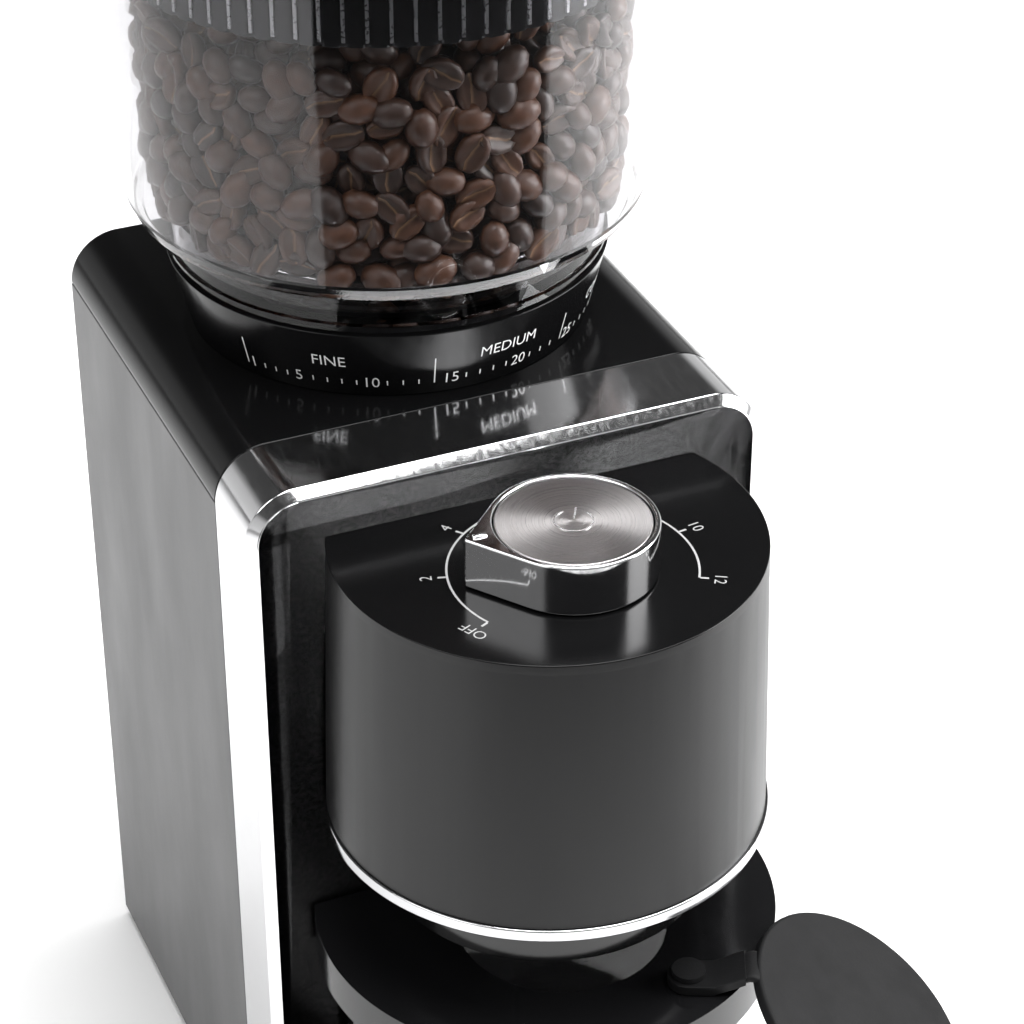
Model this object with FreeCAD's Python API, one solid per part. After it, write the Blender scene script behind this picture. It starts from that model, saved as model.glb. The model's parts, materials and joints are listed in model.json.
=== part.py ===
import FreeCAD, Part
import math
import os

# A burr coffee grinder, in millimetres. +Z is up, -Y is the front, +X is the right-hand side seen
# from the front. The origin is on the table, under the plane of symmetry.

# ---- body shell
BODY_WIDTH = 130.0
BODY_CROWN = 225.7          # top of the body
BODY_CORNER = 13.0          # rounding between sides and top
BODY_BACK = 109.0           # rear face, along Y
SHELL_WALL = 2.5
BAND_FRONT = -30.0          # front edge of the metal band, along Y
BAND_DEPTH = 23.0
BAND_WALL = 2.8
PLATE_RECESS = 1.0          # front plate behind the band's lip
PLATE_WALL = 2.5
SEAM_GAP = 0.1              # between shell pieces that meet

# ---- base and feet
FOOT_HEIGHT = 3.0
FOOT_RADIUS = 8.0
BASE_HEIGHT = 12.0
BASE_WALL = 3.0
BASE_COVER_WALL = 2.0
TONGUE_RADIUS = 59.0        # round front of the base, under the container

# ---- drum that carries the dial
DRUM_AXIS_Y = -50.0
DRUM_TOP = BODY_CROWN - 13.2
DRUM_TOP_RADIUS = 50.6
DRUM_BOTTOM = DRUM_TOP - 69.0
DRUM_BOTTOM_RADIUS = 52.6
DRUM_WALL = 2.5
DRUM_CAP_WALL = 2.5
DRUM_RING_HEIGHT = 4.0
DRUM_RING_RADIUS = 53.3
SKIRT_RADIUS = 39.6
SKIRT_BOTTOM = DRUM_BOTTOM - 23.5
SKIRT_WALL = 2.0

# ---- knob, start button and timer
KNOB_Y = -64.0
KNOB_RADIUS = 19.5
KNOB_NOSE = 25.5            # from the knob's axis to the tip of its pointer
KNOB_NOSE_ANGLE = 175.0     # where the pointer rests, anticlockwise from +X
KNOB_HEIGHT = 13.0
KNOB_GAP = 0.4              # under the knob
KNOB_FLOOR = 3.0
BUTTON_RADIUS = 17.8
BUTTON_CLEARANCE = 0.35
BUTTON_HEIGHT = 3.2
BUTTON_SINK = 0.3           # button top below the knob's top
BUTTON_STEM = 2.5
STEM_CLEARANCE = 0.1
KNOB_SHAFT_RADIUS = 5.5
SHAFT_CLEARANCE = 0.1
TIMER_RADIUS = 20.0
TIMER_HEIGHT = 19.0
SPRING_FOOT_RADIUS = 10.0    # soft dome that pushes the button back up
SPRING_TOP_RADIUS = 6.0
SPRING_WALL = 0.8

# ---- burr axis, top to bottom
BURR_Y = 48.0
COLLAR_BOTTOM_RADIUS = 49.6
COLLAR_TOP_RADIUS = 54.5
COLLAR_HEIGHT = 18.7
COLLAR_BORE = 46.0
CHAMBER_RADIUS = 43.0       # inside of the grinding chamber
CHAMBER_WALL = 3.0
CHAMBER_FLOOR = BODY_CROWN - 60.7
CHAMBER_FLOOR_WALL = 3.0
ADJUSTER_CLEARANCE = 0.3
ADJUSTER_BOTTOM = CHAMBER_FLOOR + 25.0
ADJUSTER_TOP = BODY_CROWN + 12.8
CARRIER_RADIUS = CHAMBER_RADIUS - 7.0
CARRIER_HEIGHT = 22.0
CARRIER_BORE = CARRIER_RADIUS - 12.0
CARRIER_LUG_WIDTH = 6.0
CARRIER_LUG_HEIGHT = 4.5
CARRIER_TRAVEL = 1.2        # room for the carrier to move each way
RING_BURR_RADIUS = CARRIER_RADIUS - 8.0
RING_BURR_HEIGHT = 14.0
CONE_BURR_RADIUS = RING_BURR_RADIUS - 8.0
CONE_BURR_TOP = 9.0
CONE_BURR_HEIGHT = 20.0
BURR_GAP = 0.9              # between the two burrs at the lower edge
SHAFT_RADIUS = 4.0
BUSH_RADIUS = 8.0
RUNNING_CLEARANCE = 0.05

# ---- hopper and its lid
HOPPER_BOTTOM = BODY_CROWN + 31.2
HOPPER_BOTTOM_RADIUS = 63.4
HOPPER_RIM = HOPPER_BOTTOM + 80.1
HOPPER_RIM_RADIUS = 65.8
HOPPER_WALL = 1.9
HOPPER_CORNER = 4.5
NECK_RADIUS = 53.5
NECK_WALL = 2.2
NECK_GAP = 0.5              # between the neck and the collar
NECK_RIDGE = 0.7
THROAT_RADIUS = 31.0
THROAT_WALL = 2.0
THROAT_BOTTOM = BODY_CROWN + 3.3
LUG_WIDTH = 8.0
LUG_HEIGHT = 3.0
LUG_REACH = 3.0
LID_CLEARANCE = 0.4
LID_SKIRT_DEPTH = 16.0
LID_SKIRT_WALL = 2.0
LID_PLATE = 2.5
LID_OVERHANG = 1.2
LID_FLUTES = 76
LID_GRIP_LENGTH = 64.0
LID_GRIP_WIDTH = 9.0
LID_GRIP_HEIGHT = 7.0

# ---- gear train and motor
MOTOR_Y = 8.0
GEAR_MODULE = 1.0
PRESSURE_ANGLE = 25.0
BACKLASH = 0.12
PINION_TEETH = 12
IDLER_WHEEL_TEETH = 48
IDLER_PINION_TEETH = 14
OUTPUT_TEETH = 56
GEARBOX_FLOOR = CHAMBER_FLOOR - 37.0
GEARBOX_HEIGHT = 30.0
GEARBOX_WALL = 2.5
GEAR_MARGIN = 2.5           # between gear tips and the gearbox wall
IDLER_WHEEL_WIDTH = 6.0
OUTPUT_WIDTH = 8.0
AXLE_RADIUS = 3.0
MOTOR_RADIUS = 31.0
MOTOR_LENGTH = 68.0
MOTOR_WALL = 2.0
MOTOR_SHAFT_RADIUS = 2.5
MAGNET_WALL = 5.0
ROTOR_AIR = 1.5             # between the rotor and the magnets

# ---- container
CONTAINER_RADIUS = 52.0
CONTAINER_WALL = 2.2
CONTAINER_GAP = 0.3         # under the container
CONTAINER_LID_RADIUS = 56.6
CONTAINER_LID_TOP = 106.5
CONTAINER_LID_HEIGHT = 11.0
CONTAINER_LID_PLATE = 3.0
CONTAINER_LID_SKIRT = 2.2
PLUG_CLEARANCE = 0.6
PLUG_WALL = 2.0
PLUG_DEPTH = 4.5
FILL_HOLE_RADIUS = 25.5
FILL_HOLE_Y = -60.0
PARK_GAP = 1.0              # between the container's flat back and the front plate

# ---- silicone flap that closes the container's lid, lying open
FLAP_PIN = (18.55, -92.1)
FLAP_ANGLE = -24.5          # from the pin towards the disc, anticlockwise from +X
FLAP_REACH = 16.4           # from the pin to the disc's near edge
FLAP_DISC_RADIUS = 30.4
FLAP_DISC_WALL = 3.2
FLAP_DISC_EDGE_HEIGHT = 6.7  # near edge of the disc's top above the lid
FLAP_DROOP = 32.7
FLAP_TWIST = -5.0
FLAP_PLUG_HEIGHT = 3.5
STRAP_WIDTH = 10.0
STRAP_WALL = 2.6
STRAP_GAP = 3.0             # between the strap's end and the disc, which bends over it
PIN_RADIUS = 2.5
PIN_HEAD_RADIUS = 4.0

# ---- small fasteners and electrics
SCREW_RADIUS = 1.5
SCREW_HEAD_RADIUS = 2.8
SCREW_HEAD_HEIGHT = 1.8
GLAND_RADIUS = 6.0
GLAND_HEIGHT_Z = 28.0
VENT_COUNT = 9
VENT_PITCH = 6.0
VENT_WIDTH = 2.4
VENT_LENGTH = 60.0

Z_AXIS = FreeCAD.Vector(0, 0, 1)
FLOOR_Z = FOOT_HEIGHT
HALF = BODY_WIDTH / 2
BAND_BACK = BAND_FRONT + BAND_DEPTH
PLATE_FRONT = BAND_FRONT + PLATE_RECESS
PLATE_BACK = PLATE_FRONT + PLATE_WALL
SEAM_Z = BODY_CROWN - BODY_CORNER
BASE_TOP = FLOOR_Z + BASE_HEIGHT
AXIS_BURR = (0.0, BURR_Y)
AXIS_DRUM = (0.0, DRUM_AXIS_Y)
AXIS_KNOB = (0.0, KNOB_Y)
AXIS_MOTOR = (0.0, MOTOR_Y)
COLLAR_TOP = BODY_CROWN + COLLAR_HEIGHT


def vec(x, y, z=0.0):
    return FreeCAD.Vector(x, y, z)


def disc(radius, z0, z1, axis=(0.0, 0.0)):
    return Part.makeCylinder(radius, z1 - z0, vec(axis[0], axis[1], z0))


def tube(outer, inner, z0, z1, axis=(0.0, 0.0)):
    return disc(outer, z0, z1, axis).cut(disc(inner, z0 - 1, z1 + 1, axis))


def block(x0, x1, y0, y1, z0, z1):
    return Part.makeBox(x1 - x0, y1 - y0, z1 - z0, vec(x0, y0, z0))


def turned(points, axis):
    """A solid of revolution about a vertical axis, from (radius, height) points."""
    wire = Part.makePolygon([vec(r, 0, z) for r, z in points + points[:1]])
    solid = Part.Face(wire).revolve(vec(0, 0, 0), Z_AXIS, 360)
    solid.translate(vec(axis[0], axis[1]))
    return solid


def prism(points, z0, z1):
    wire = Part.makePolygon([vec(x, y, z0) for x, y in points + points[:1]])
    return Part.Face(wire).extrude(vec(0, 0, z1 - z0))


def arch(inset, y0, y1, z0):
    """The body's cross-section, shrunk by inset, from y0 to y1 and down to z0."""
    half, crown, corner = HALF - inset, BODY_CROWN - inset, BODY_CORNER - inset
    spring, turn = crown - corner, corner * math.cos(math.pi / 4)

    def at(x, z):
        return vec(x, y0, z)

    edges = [
        Part.makeLine(at(-half, z0), at(-half, spring)),
        Part.Arc(at(-half, spring), at(-half + corner - turn, spring + turn),
                 at(-half + corner, crown)).toShape(),
        Part.makeLine(at(-half + corner, crown), at(half - corner, crown)),
        Part.Arc(at(half - corner, crown), at(half - corner + turn, spring + turn),
                 at(half, spring)).toShape(),
        Part.makeLine(at(half, spring), at(half, z0)),
        Part.makeLine(at(half, z0), at(-half, z0)),
    ]
    return Part.Face(Part.Wire(edges)).extrude(vec(0, y1 - y0, 0))


def spun(shape, angle, axis):
    copy = shape.copy()
    copy.rotate(vec(axis[0], axis[1]), Z_AXIS, angle)
    return copy


def ring_of(shape, count, axis, start=0.0):
    return [spun(shape, start + 360.0 * i / count, axis) for i in range(count)]


def in_front_of_plate(shape, gap=SEAM_GAP):
    """The part of a shape that stands in front of the front plate."""
    return shape.cut(block(-200, 200, PLATE_FRONT - gap, 200, 0, 400))


def involute_gear(teeth, z0, z1, axis, bore, phase=0.0):
    """A spur gear whose first tooth points to the phase angle, in degrees from +X."""
    pitch_r = GEAR_MODULE * teeth / 2
    base_r = pitch_r * math.cos(math.radians(PRESSURE_ANGLE))
    tip_r, root_r = pitch_r + GEAR_MODULE, pitch_r - 1.25 * GEAR_MODULE
    pitch_roll = math.tan(math.radians(PRESSURE_ANGLE)) - math.radians(PRESSURE_ANGLE)
    half_tooth = (math.pi * GEAR_MODULE / 2 - BACKLASH) / 2 / pitch_r

    def half_angle(radius):
        press = math.acos(min(1.0, base_r / radius))
        return half_tooth + pitch_roll - (math.tan(press) - press)

    flank_start = max(root_r, base_r)
    radii = [flank_start + (tip_r - flank_start) * i / 4 for i in range(5)]
    points = []
    for tooth in range(teeth):
        middle = math.radians(phase) + 2 * math.pi * tooth / teeth
        left = [(r, middle - half_angle(r)) for r in radii]
        right = [(r, middle + half_angle(r)) for r in reversed(radii)]
        roots = ([(root_r, left[0][1])], [(root_r, right[-1][1])]) if root_r < base_r else ([], [])
        points += roots[0] + left + right + roots[1]
    outline = [(axis[0] + r * math.cos(a), axis[1] + r * math.sin(a)) for r, a in points]
    return prism(outline, z0, z1).cut(disc(bore, z0 - 1, z1 + 1, axis))


def screw(x, y, head_z, length, up=False):
    """A pan-head screw on a vertical axis; up puts its head at the lower end."""
    sign = -1 if up else 1
    head = sorted((head_z, head_z + sign * SCREW_HEAD_HEIGHT))
    shank = sorted((head_z, head_z - sign * length))
    body = disc(SCREW_HEAD_RADIUS, head[0], head[1], (x, y))
    body = body.cut(block(x - 1.8, x + 1.8, y - 0.3, y + 0.3,
                          *sorted((head_z + sign * SCREW_HEAD_HEIGHT, head_z + sign * 0.9))))
    return body.fuse(disc(SCREW_RADIUS, shank[0], shank[1], (x, y)))


def save(name, shape):
    if isinstance(shape, list):
        shape = Part.makeCompound(shape)
    if len(shape.Solids) == 1:
        shape = shape.Solids[0]
    shape.exportStep("parts/" + name + ".step")


# ---- base -----------------------------------------------------------------------------------
def footprint(inset, z0, z1):
    """The base's plan, shrunk by inset: a round tongue in front and the body's floor behind."""
    tongue = disc(TONGUE_RADIUS - inset, z0, z1, AXIS_DRUM)
    neck = block(-TONGUE_RADIUS + inset, TONGUE_RADIUS - inset, DRUM_AXIS_Y, PLATE_BACK + inset, z0, z1)
    inner_half = HALF - BAND_WALL - SEAM_GAP - inset
    floor = block(-inner_half, inner_half, PLATE_BACK + inset,
                  BODY_BACK - SHELL_WALL - SEAM_GAP - inset, z0, z1)
    return tongue.fuse(neck).fuse(floor).removeSplitter()


SCREW_SPOTS = [(-40.0, -62.0), (40.0, -62.0), (-52.0, 78.0), (52.0, 78.0)]
FOOT_SPOTS = [(-38.0, -78.0), (38.0, -78.0), (-50.0, 92.0), (50.0, 92.0)]


def make_base():
    shell = footprint(0, FLOOR_Z, BASE_TOP)
    cavity = footprint(BASE_WALL, FLOOR_Z - 1, BASE_TOP - BASE_WALL)
    housing = shell.cut(cavity)
    cover_top = FLOOR_Z + BASE_COVER_WALL
    cover = footprint(BASE_WALL + SEAM_GAP, FLOOR_Z, cover_top)
    for x, y in SCREW_SPOTS:
        boss = tube(4.0, SCREW_RADIUS, cover_top, BASE_TOP - BASE_WALL, (x, y))
        housing = housing.fuse(boss)
        cover = cover.cut(disc(SCREW_RADIUS + 0.2, 0, cover_top + 1, (x, y)))
        cover = cover.cut(disc(SCREW_HEAD_RADIUS + 0.3, 0, FLOOR_Z + 1.0, (x, y)))
    feet = []
    for x, y in FOOT_SPOTS:
        cover = cover.cut(disc(3.0, 0, cover_top + 1, (x, y)))
        feet.append(disc(FOOT_RADIUS, 0, FLOOR_Z, (x, y)).fuse(disc(3.0, FLOOR_Z, cover_top, (x, y))))
    screws = [screw(x, y, FLOOR_Z + 1.0, 6.0, up=True) for x, y in SCREW_SPOTS]
    save("base_housing", housing)
    save("base_cover", cover)
    save("rubber_feet", feet)
    save("base_screws", screws)


# ---- body shell -----------------------------------------------------------------------------
def make_body():
    panel = block(-HALF, -HALF + SHELL_WALL, BAND_BACK + SEAM_GAP, BODY_BACK, FLOOR_Z, SEAM_Z - SEAM_GAP)
    save("side_panel_left", panel)
    save("side_panel_right", panel.mirror(vec(0, 0), vec(1, 0)))

    cover = arch(0, BAND_BACK + SEAM_GAP, BODY_BACK, FLOOR_Z)
    cover = cover.cut(arch(SHELL_WALL, BAND_BACK - 1, BODY_BACK + 1, FLOOR_Z - 1))
    cover = cover.cut(block(-HALF - 1, HALF + 1, BAND_BACK - 1, BODY_BACK + 1, 0, SEAM_Z))
    cover = cover.cut(disc(CHAMBER_RADIUS + ADJUSTER_CLEARANCE, SEAM_Z, BODY_CROWN + 1, AXIS_BURR))
    save("top_cover", cover)

    back_front = BODY_BACK - SHELL_WALL
    back = arch(SHELL_WALL + SEAM_GAP, back_front, BODY_BACK, FLOOR_Z)
    for i in range(VENT_COUNT):
        z = 150.0 + (i - (VENT_COUNT - 1) / 2) * VENT_PITCH
        back = back.cut(block(-VENT_LENGTH / 2, VENT_LENGTH / 2, back_front - 1, BODY_BACK + 1,
                              z - VENT_WIDTH / 2, z + VENT_WIDTH / 2))
    gland_hole = Part.makeCylinder(GLAND_RADIUS, 10, vec(0, back_front - 5, GLAND_HEIGHT_Z), vec(0, 1))
    back = back.cut(gland_hole)
    screws = []
    for x in (-50.0, 50.0):
        for z in (24.0, 200.0):
            hole = Part.makeCylinder(SCREW_RADIUS, 10, vec(x, back_front - 5, z), vec(0, 1))
            back = back.cut(hole)
            head = Part.makeCylinder(SCREW_HEAD_RADIUS, SCREW_HEAD_HEIGHT, vec(x, BODY_BACK, z), vec(0, 1))
            shank = Part.makeCylinder(SCREW_RADIUS, 8, vec(x, BODY_BACK - 8, z), vec(0, 1))
            screws.append(head.fuse(shank))
    save("back_panel", back)
    save("back_panel_screws", screws)

    gland = Part.makeCylinder(GLAND_RADIUS, 9, vec(0, back_front - 4, GLAND_HEIGHT_Z), vec(0, 1))
    gland = gland.fuse(Part.makeCylinder(GLAND_RADIUS + 3, 2, vec(0, BODY_BACK, GLAND_HEIGHT_Z), vec(0, 1)))
    gland = gland.cut(Part.makeCylinder(3.6, 30, vec(0, back_front - 10, GLAND_HEIGHT_Z), vec(0, 1)))
    save("cord_gland", gland)

    band = arch(0, BAND_FRONT, BAND_BACK, FLOOR_Z).cut(
        arch(BAND_WALL, BAND_FRONT - 1, BAND_BACK + 1, FLOOR_Z - 1))
    save("chrome_band", band)

    plate = arch(BAND_WALL + SEAM_GAP, PLATE_FRONT, PLATE_BACK, BASE_TOP + SEAM_GAP)
    plate = plate.cut(chute_outline(0.3))
    save("front_plate", plate)


# ---- drum and chute ---------------------------------------------------------------------------
CHUTE_HALF = 13.0
CHUTE_WALL = 2.0
CHUTE_FLOOR = CHAMBER_FLOOR + CHAMBER_FLOOR_WALL - CHUTE_WALL
CHUTE_ROOF = CHUTE_FLOOR + 19.0
CHUTE_START = BURR_Y - math.sqrt((CHAMBER_RADIUS + CHAMBER_WALL) ** 2 - CHUTE_HALF ** 2)
CHUTE_BACK = DRUM_AXIS_Y + 12.0
CHUTE_FRONT = DRUM_AXIS_Y - 12.0
CHUTE_MOUTH = SKIRT_BOTTOM + 3.0


def chute_outline(grow):
    """The chute's outside: level from the grinding chamber, then straight down."""
    half = CHUTE_HALF + grow
    level = block(-half, half, CHUTE_FRONT - grow, CHUTE_START, CHUTE_FLOOR - grow, CHUTE_ROOF + grow)
    drop = block(-half, half, CHUTE_FRONT - grow, CHUTE_BACK + grow, CHUTE_MOUTH, CHUTE_ROOF + grow)
    return level.fuse(drop)


def make_drum():
    shell = turned([(DRUM_BOTTOM_RADIUS, DRUM_BOTTOM), (DRUM_TOP_RADIUS, DRUM_TOP - DRUM_CAP_WALL),
                    (DRUM_TOP_RADIUS - DRUM_WALL, DRUM_TOP - DRUM_CAP_WALL),
                    (DRUM_BOTTOM_RADIUS - DRUM_WALL, DRUM_BOTTOM)], AXIS_DRUM)
    save("drum_shell", in_front_of_plate(shell))

    cap = disc(DRUM_TOP_RADIUS, DRUM_TOP - DRUM_CAP_WALL, DRUM_TOP, AXIS_DRUM)
    cap = cap.cut(disc(KNOB_SHAFT_RADIUS + SHAFT_CLEARANCE, DRUM_TOP - 5, DRUM_TOP + 1, AXIS_KNOB))
    save("drum_top_cap", in_front_of_plate(cap))

    ring_bottom = DRUM_BOTTOM - DRUM_RING_HEIGHT
    ring_bore = DRUM_BOTTOM_RADIUS - DRUM_WALL
    ring = tube(DRUM_RING_RADIUS, ring_bore, ring_bottom, DRUM_BOTTOM, AXIS_DRUM)
    save("drum_chrome_ring", in_front_of_plate(ring))

    skirt = disc(ring_bore - SEAM_GAP, DRUM_BOTTOM - 2.5, DRUM_BOTTOM, AXIS_DRUM)
    skirt = skirt.fuse(disc(SKIRT_RADIUS, SKIRT_BOTTOM, DRUM_BOTTOM, AXIS_DRUM))
    skirt = skirt.cut(disc(SKIRT_RADIUS - SKIRT_WALL, SKIRT_BOTTOM - 1, DRUM_BOTTOM - 2.5, AXIS_DRUM))
    skirt = skirt.cut(chute_outline(SEAM_GAP))
    save("discharge_skirt", in_front_of_plate(skirt))

    wall = CHUTE_WALL
    inside = block(-CHUTE_HALF + wall, CHUTE_HALF - wall, CHUTE_FRONT + wall, CHUTE_START + 1,
                   CHUTE_FLOOR + wall, CHUTE_ROOF - wall)
    inside = inside.fuse(block(-CHUTE_HALF + wall, CHUTE_HALF - wall, CHUTE_FRONT + wall, CHUTE_BACK - wall,
                               CHUTE_MOUTH - 1, CHUTE_ROOF - wall))
    chute = chute_outline(0).cut(inside)
    save("grounds_chute", chute.cut(disc(CHAMBER_RADIUS + CHAMBER_WALL, 0, 400, AXIS_BURR)))


# ---- knob, button and timer -------------------------------------------------------------------
def knob_outline(radius, nose, z0, z1):
    """A round knob with a pointed nose whose straight sides are tangent to the circle."""
    angle = math.acos(radius / nose)
    side = vec(radius * math.cos(angle), radius * math.sin(angle), z0)
    other = vec(side.x, -side.y, z0)
    tip = vec(nose, 0, z0)
    edges = [Part.makeLine(other, tip), Part.makeLine(tip, side),
             Part.Arc(side, vec(-radius, 0, z0), other).toShape()]
    solid = Part.Face(Part.Wire(edges)).extrude(vec(0, 0, z1 - z0))
    solid.rotate(vec(0, 0), Z_AXIS, KNOB_NOSE_ANGLE)
    solid.translate(vec(*AXIS_KNOB))
    return solid


def make_knob():
    knob_bottom = DRUM_TOP + KNOB_GAP
    knob_top = DRUM_TOP + KNOB_HEIGHT
    pocket_floor = knob_bottom + KNOB_FLOOR
    knob = knob_outline(KNOB_RADIUS, KNOB_NOSE, knob_bottom, knob_top)
    knob = knob.cut(disc(BUTTON_RADIUS + BUTTON_CLEARANCE, pocket_floor, knob_top + 1, AXIS_KNOB))
    knob = knob.cut(disc(BUTTON_STEM + STEM_CLEARANCE, knob_bottom - 1, knob_top, AXIS_KNOB))
    save("timer_knob", knob)

    timer_top = DRUM_TOP - DRUM_CAP_WALL - 0.5
    timer_bottom = timer_top - TIMER_HEIGHT
    shaft_bottom = timer_bottom + 4.0
    save("knob_shaft", tube(KNOB_SHAFT_RADIUS, BUTTON_STEM + STEM_CLEARANCE, shaft_bottom, knob_bottom,
                            AXIS_KNOB))

    timer = disc(TIMER_RADIUS, timer_bottom, timer_top, AXIS_KNOB)
    timer = timer.cut(disc(KNOB_SHAFT_RADIUS + SHAFT_CLEARANCE, shaft_bottom - 3.0, timer_top + 1, AXIS_KNOB))
    save("timer_switch", timer)

    button_top = knob_top - BUTTON_SINK
    button_bottom = button_top - BUTTON_HEIGHT
    button = disc(BUTTON_RADIUS, button_bottom, button_top, AXIS_KNOB)
    button = button.fuse(disc(BUTTON_STEM, shaft_bottom, button_bottom, AXIS_KNOB))
    save("start_button", button)

    foot_top = pocket_floor + SPRING_WALL
    dome_top = button_bottom - SPRING_WALL
    inner_foot = SPRING_FOOT_RADIUS - 2 * SPRING_WALL
    inner_top = SPRING_TOP_RADIUS - 2 * SPRING_WALL
    dome = turned([(inner_foot - SPRING_WALL, pocket_floor), (SPRING_FOOT_RADIUS, pocket_floor),
                   (SPRING_FOOT_RADIUS, foot_top), (inner_foot, foot_top),
                   (SPRING_TOP_RADIUS, dome_top), (SPRING_TOP_RADIUS, button_bottom),
                   (inner_top, button_bottom), (inner_top, dome_top)], AXIS_KNOB)
    save("button_spring", dome)


# ---- burr set ---------------------------------------------------------------------------------
CARRIER_BOTTOM = ADJUSTER_BOTTOM
RING_BURR_BOTTOM = CARRIER_BOTTOM
CONE_BURR_BOTTOM = RING_BURR_BOTTOM - 2.0
THROAT_BORE = THROAT_RADIUS + 2.0   # bore of the adjuster above the carrier


def make_burr_housing():
    top = BODY_CROWN - SHELL_WALL
    floor_top = CHAMBER_FLOOR + CHAMBER_FLOOR_WALL
    outer = CHAMBER_RADIUS + CHAMBER_WALL
    housing = disc(outer, CHAMBER_FLOOR, top, AXIS_BURR)
    housing = housing.cut(disc(CHAMBER_RADIUS, floor_top, top + 1, AXIS_BURR))
    housing = housing.cut(disc(BUSH_RADIUS, CHAMBER_FLOOR - 1, floor_top + 1, AXIS_BURR))
    outlet = block(-CHUTE_HALF + CHUTE_WALL, CHUTE_HALF - CHUTE_WALL, BURR_Y - outer - 1, BURR_Y - 20,
                   floor_top, CHUTE_ROOF - CHUTE_WALL)
    housing = housing.cut(outlet)
    lug_room = CARRIER_TRAVEL + 0.4
    slot_half = CARRIER_LUG_WIDTH / 2 + 0.4
    slot = block(0, CHAMBER_RADIUS + 1.8, BURR_Y - slot_half, BURR_Y + slot_half,
                 CARRIER_BOTTOM - CARRIER_LUG_HEIGHT - lug_room, CARRIER_BOTTOM + lug_room)
    for cut in ring_of(slot, 3, AXIS_BURR, 30.0):
        housing = housing.cut(cut)
    save("burr_housing", housing)

    bush_top = CHAMBER_FLOOR + 6.0
    bushes = [tube(BUSH_RADIUS, SHAFT_RADIUS + RUNNING_CLEARANCE, bottom, bottom + 6.0, AXIS_BURR)
              for bottom in (bush_top - 6.0, GEARBOX_FLOOR - 3.0)]
    save("shaft_bushes", bushes)

    collar = turned([(COLLAR_BOTTOM_RADIUS, BODY_CROWN), (COLLAR_TOP_RADIUS, COLLAR_TOP),
                     (COLLAR_BORE, COLLAR_TOP), (COLLAR_BORE, BODY_CROWN)], AXIS_BURR)
    save("scale_collar", collar)


def make_adjuster():
    outer = CHAMBER_RADIUS - ADJUSTER_CLEARANCE
    carrier_room = CARRIER_RADIUS + ADJUSTER_CLEARANCE
    carrier_top = CARRIER_BOTTOM + CARRIER_HEIGHT
    ring = disc(outer, ADJUSTER_BOTTOM, ADJUSTER_TOP, AXIS_BURR)
    ring = ring.fuse(disc(COLLAR_BORE - ADJUSTER_CLEARANCE, BODY_CROWN + 0.5, BODY_CROWN + 4, AXIS_BURR))
    ring = ring.cut(disc(carrier_room, ADJUSTER_BOTTOM - 1, carrier_top + CARRIER_TRAVEL, AXIS_BURR))
    ring = ring.cut(disc(THROAT_BORE, carrier_top, ADJUSTER_TOP + 1, AXIS_BURR))
    slot_half = LUG_WIDTH / 2 + 0.4
    slot = block(THROAT_RADIUS, THROAT_BORE + LUG_REACH, BURR_Y - slot_half, BURR_Y + slot_half,
                 THROAT_BOTTOM + 1.5, ADJUSTER_TOP + 1)
    for cut in ring_of(slot, 3, AXIS_BURR):
        ring = ring.cut(cut)
    save("adjusting_ring", ring)

    carrier = tube(CARRIER_RADIUS, CARRIER_BORE, CARRIER_BOTTOM, carrier_top, AXIS_BURR)
    seat_top = RING_BURR_BOTTOM + RING_BURR_HEIGHT
    carrier = carrier.cut(disc(RING_BURR_RADIUS, CARRIER_BOTTOM - 1, seat_top, AXIS_BURR))
    lug = block(CARRIER_RADIUS - 4.0, CHAMBER_RADIUS + 1.0, BURR_Y - CARRIER_LUG_WIDTH / 2,
                BURR_Y + CARRIER_LUG_WIDTH / 2, CARRIER_BOTTOM - CARRIER_LUG_HEIGHT, CARRIER_BOTTOM)
    lug = lug.cut(disc(RING_BURR_RADIUS, 0, CARRIER_BOTTOM + 1, AXIS_BURR))
    lug = lug.cut(tube(CHAMBER_RADIUS + 20, CARRIER_RADIUS, CARRIER_BOTTOM - 1.6, CARRIER_BOTTOM + 1,
                       AXIS_BURR))
    for copy in ring_of(lug, 3, AXIS_BURR, 30.0):
        carrier = carrier.fuse(copy)
    save("burr_carrier", carrier)

    bottom_bore = CONE_BURR_RADIUS + BURR_GAP - 2.0 * (CONE_BURR_RADIUS - CONE_BURR_TOP) / CONE_BURR_HEIGHT
    burr = turned([(RING_BURR_RADIUS - 0.05, RING_BURR_BOTTOM), (RING_BURR_RADIUS - 0.05, seat_top),
                   (bottom_bore, seat_top), (bottom_bore, RING_BURR_BOTTOM)], AXIS_BURR)
    notch = block(bottom_bore - 3, bottom_bore + 1.6, BURR_Y - 0.8, BURR_Y + 0.8,
                  RING_BURR_BOTTOM + 3, seat_top + 1)
    for cut in ring_of(notch, 12, AXIS_BURR):
        burr = burr.cut(cut)
    save("ring_burr", burr)


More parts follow.
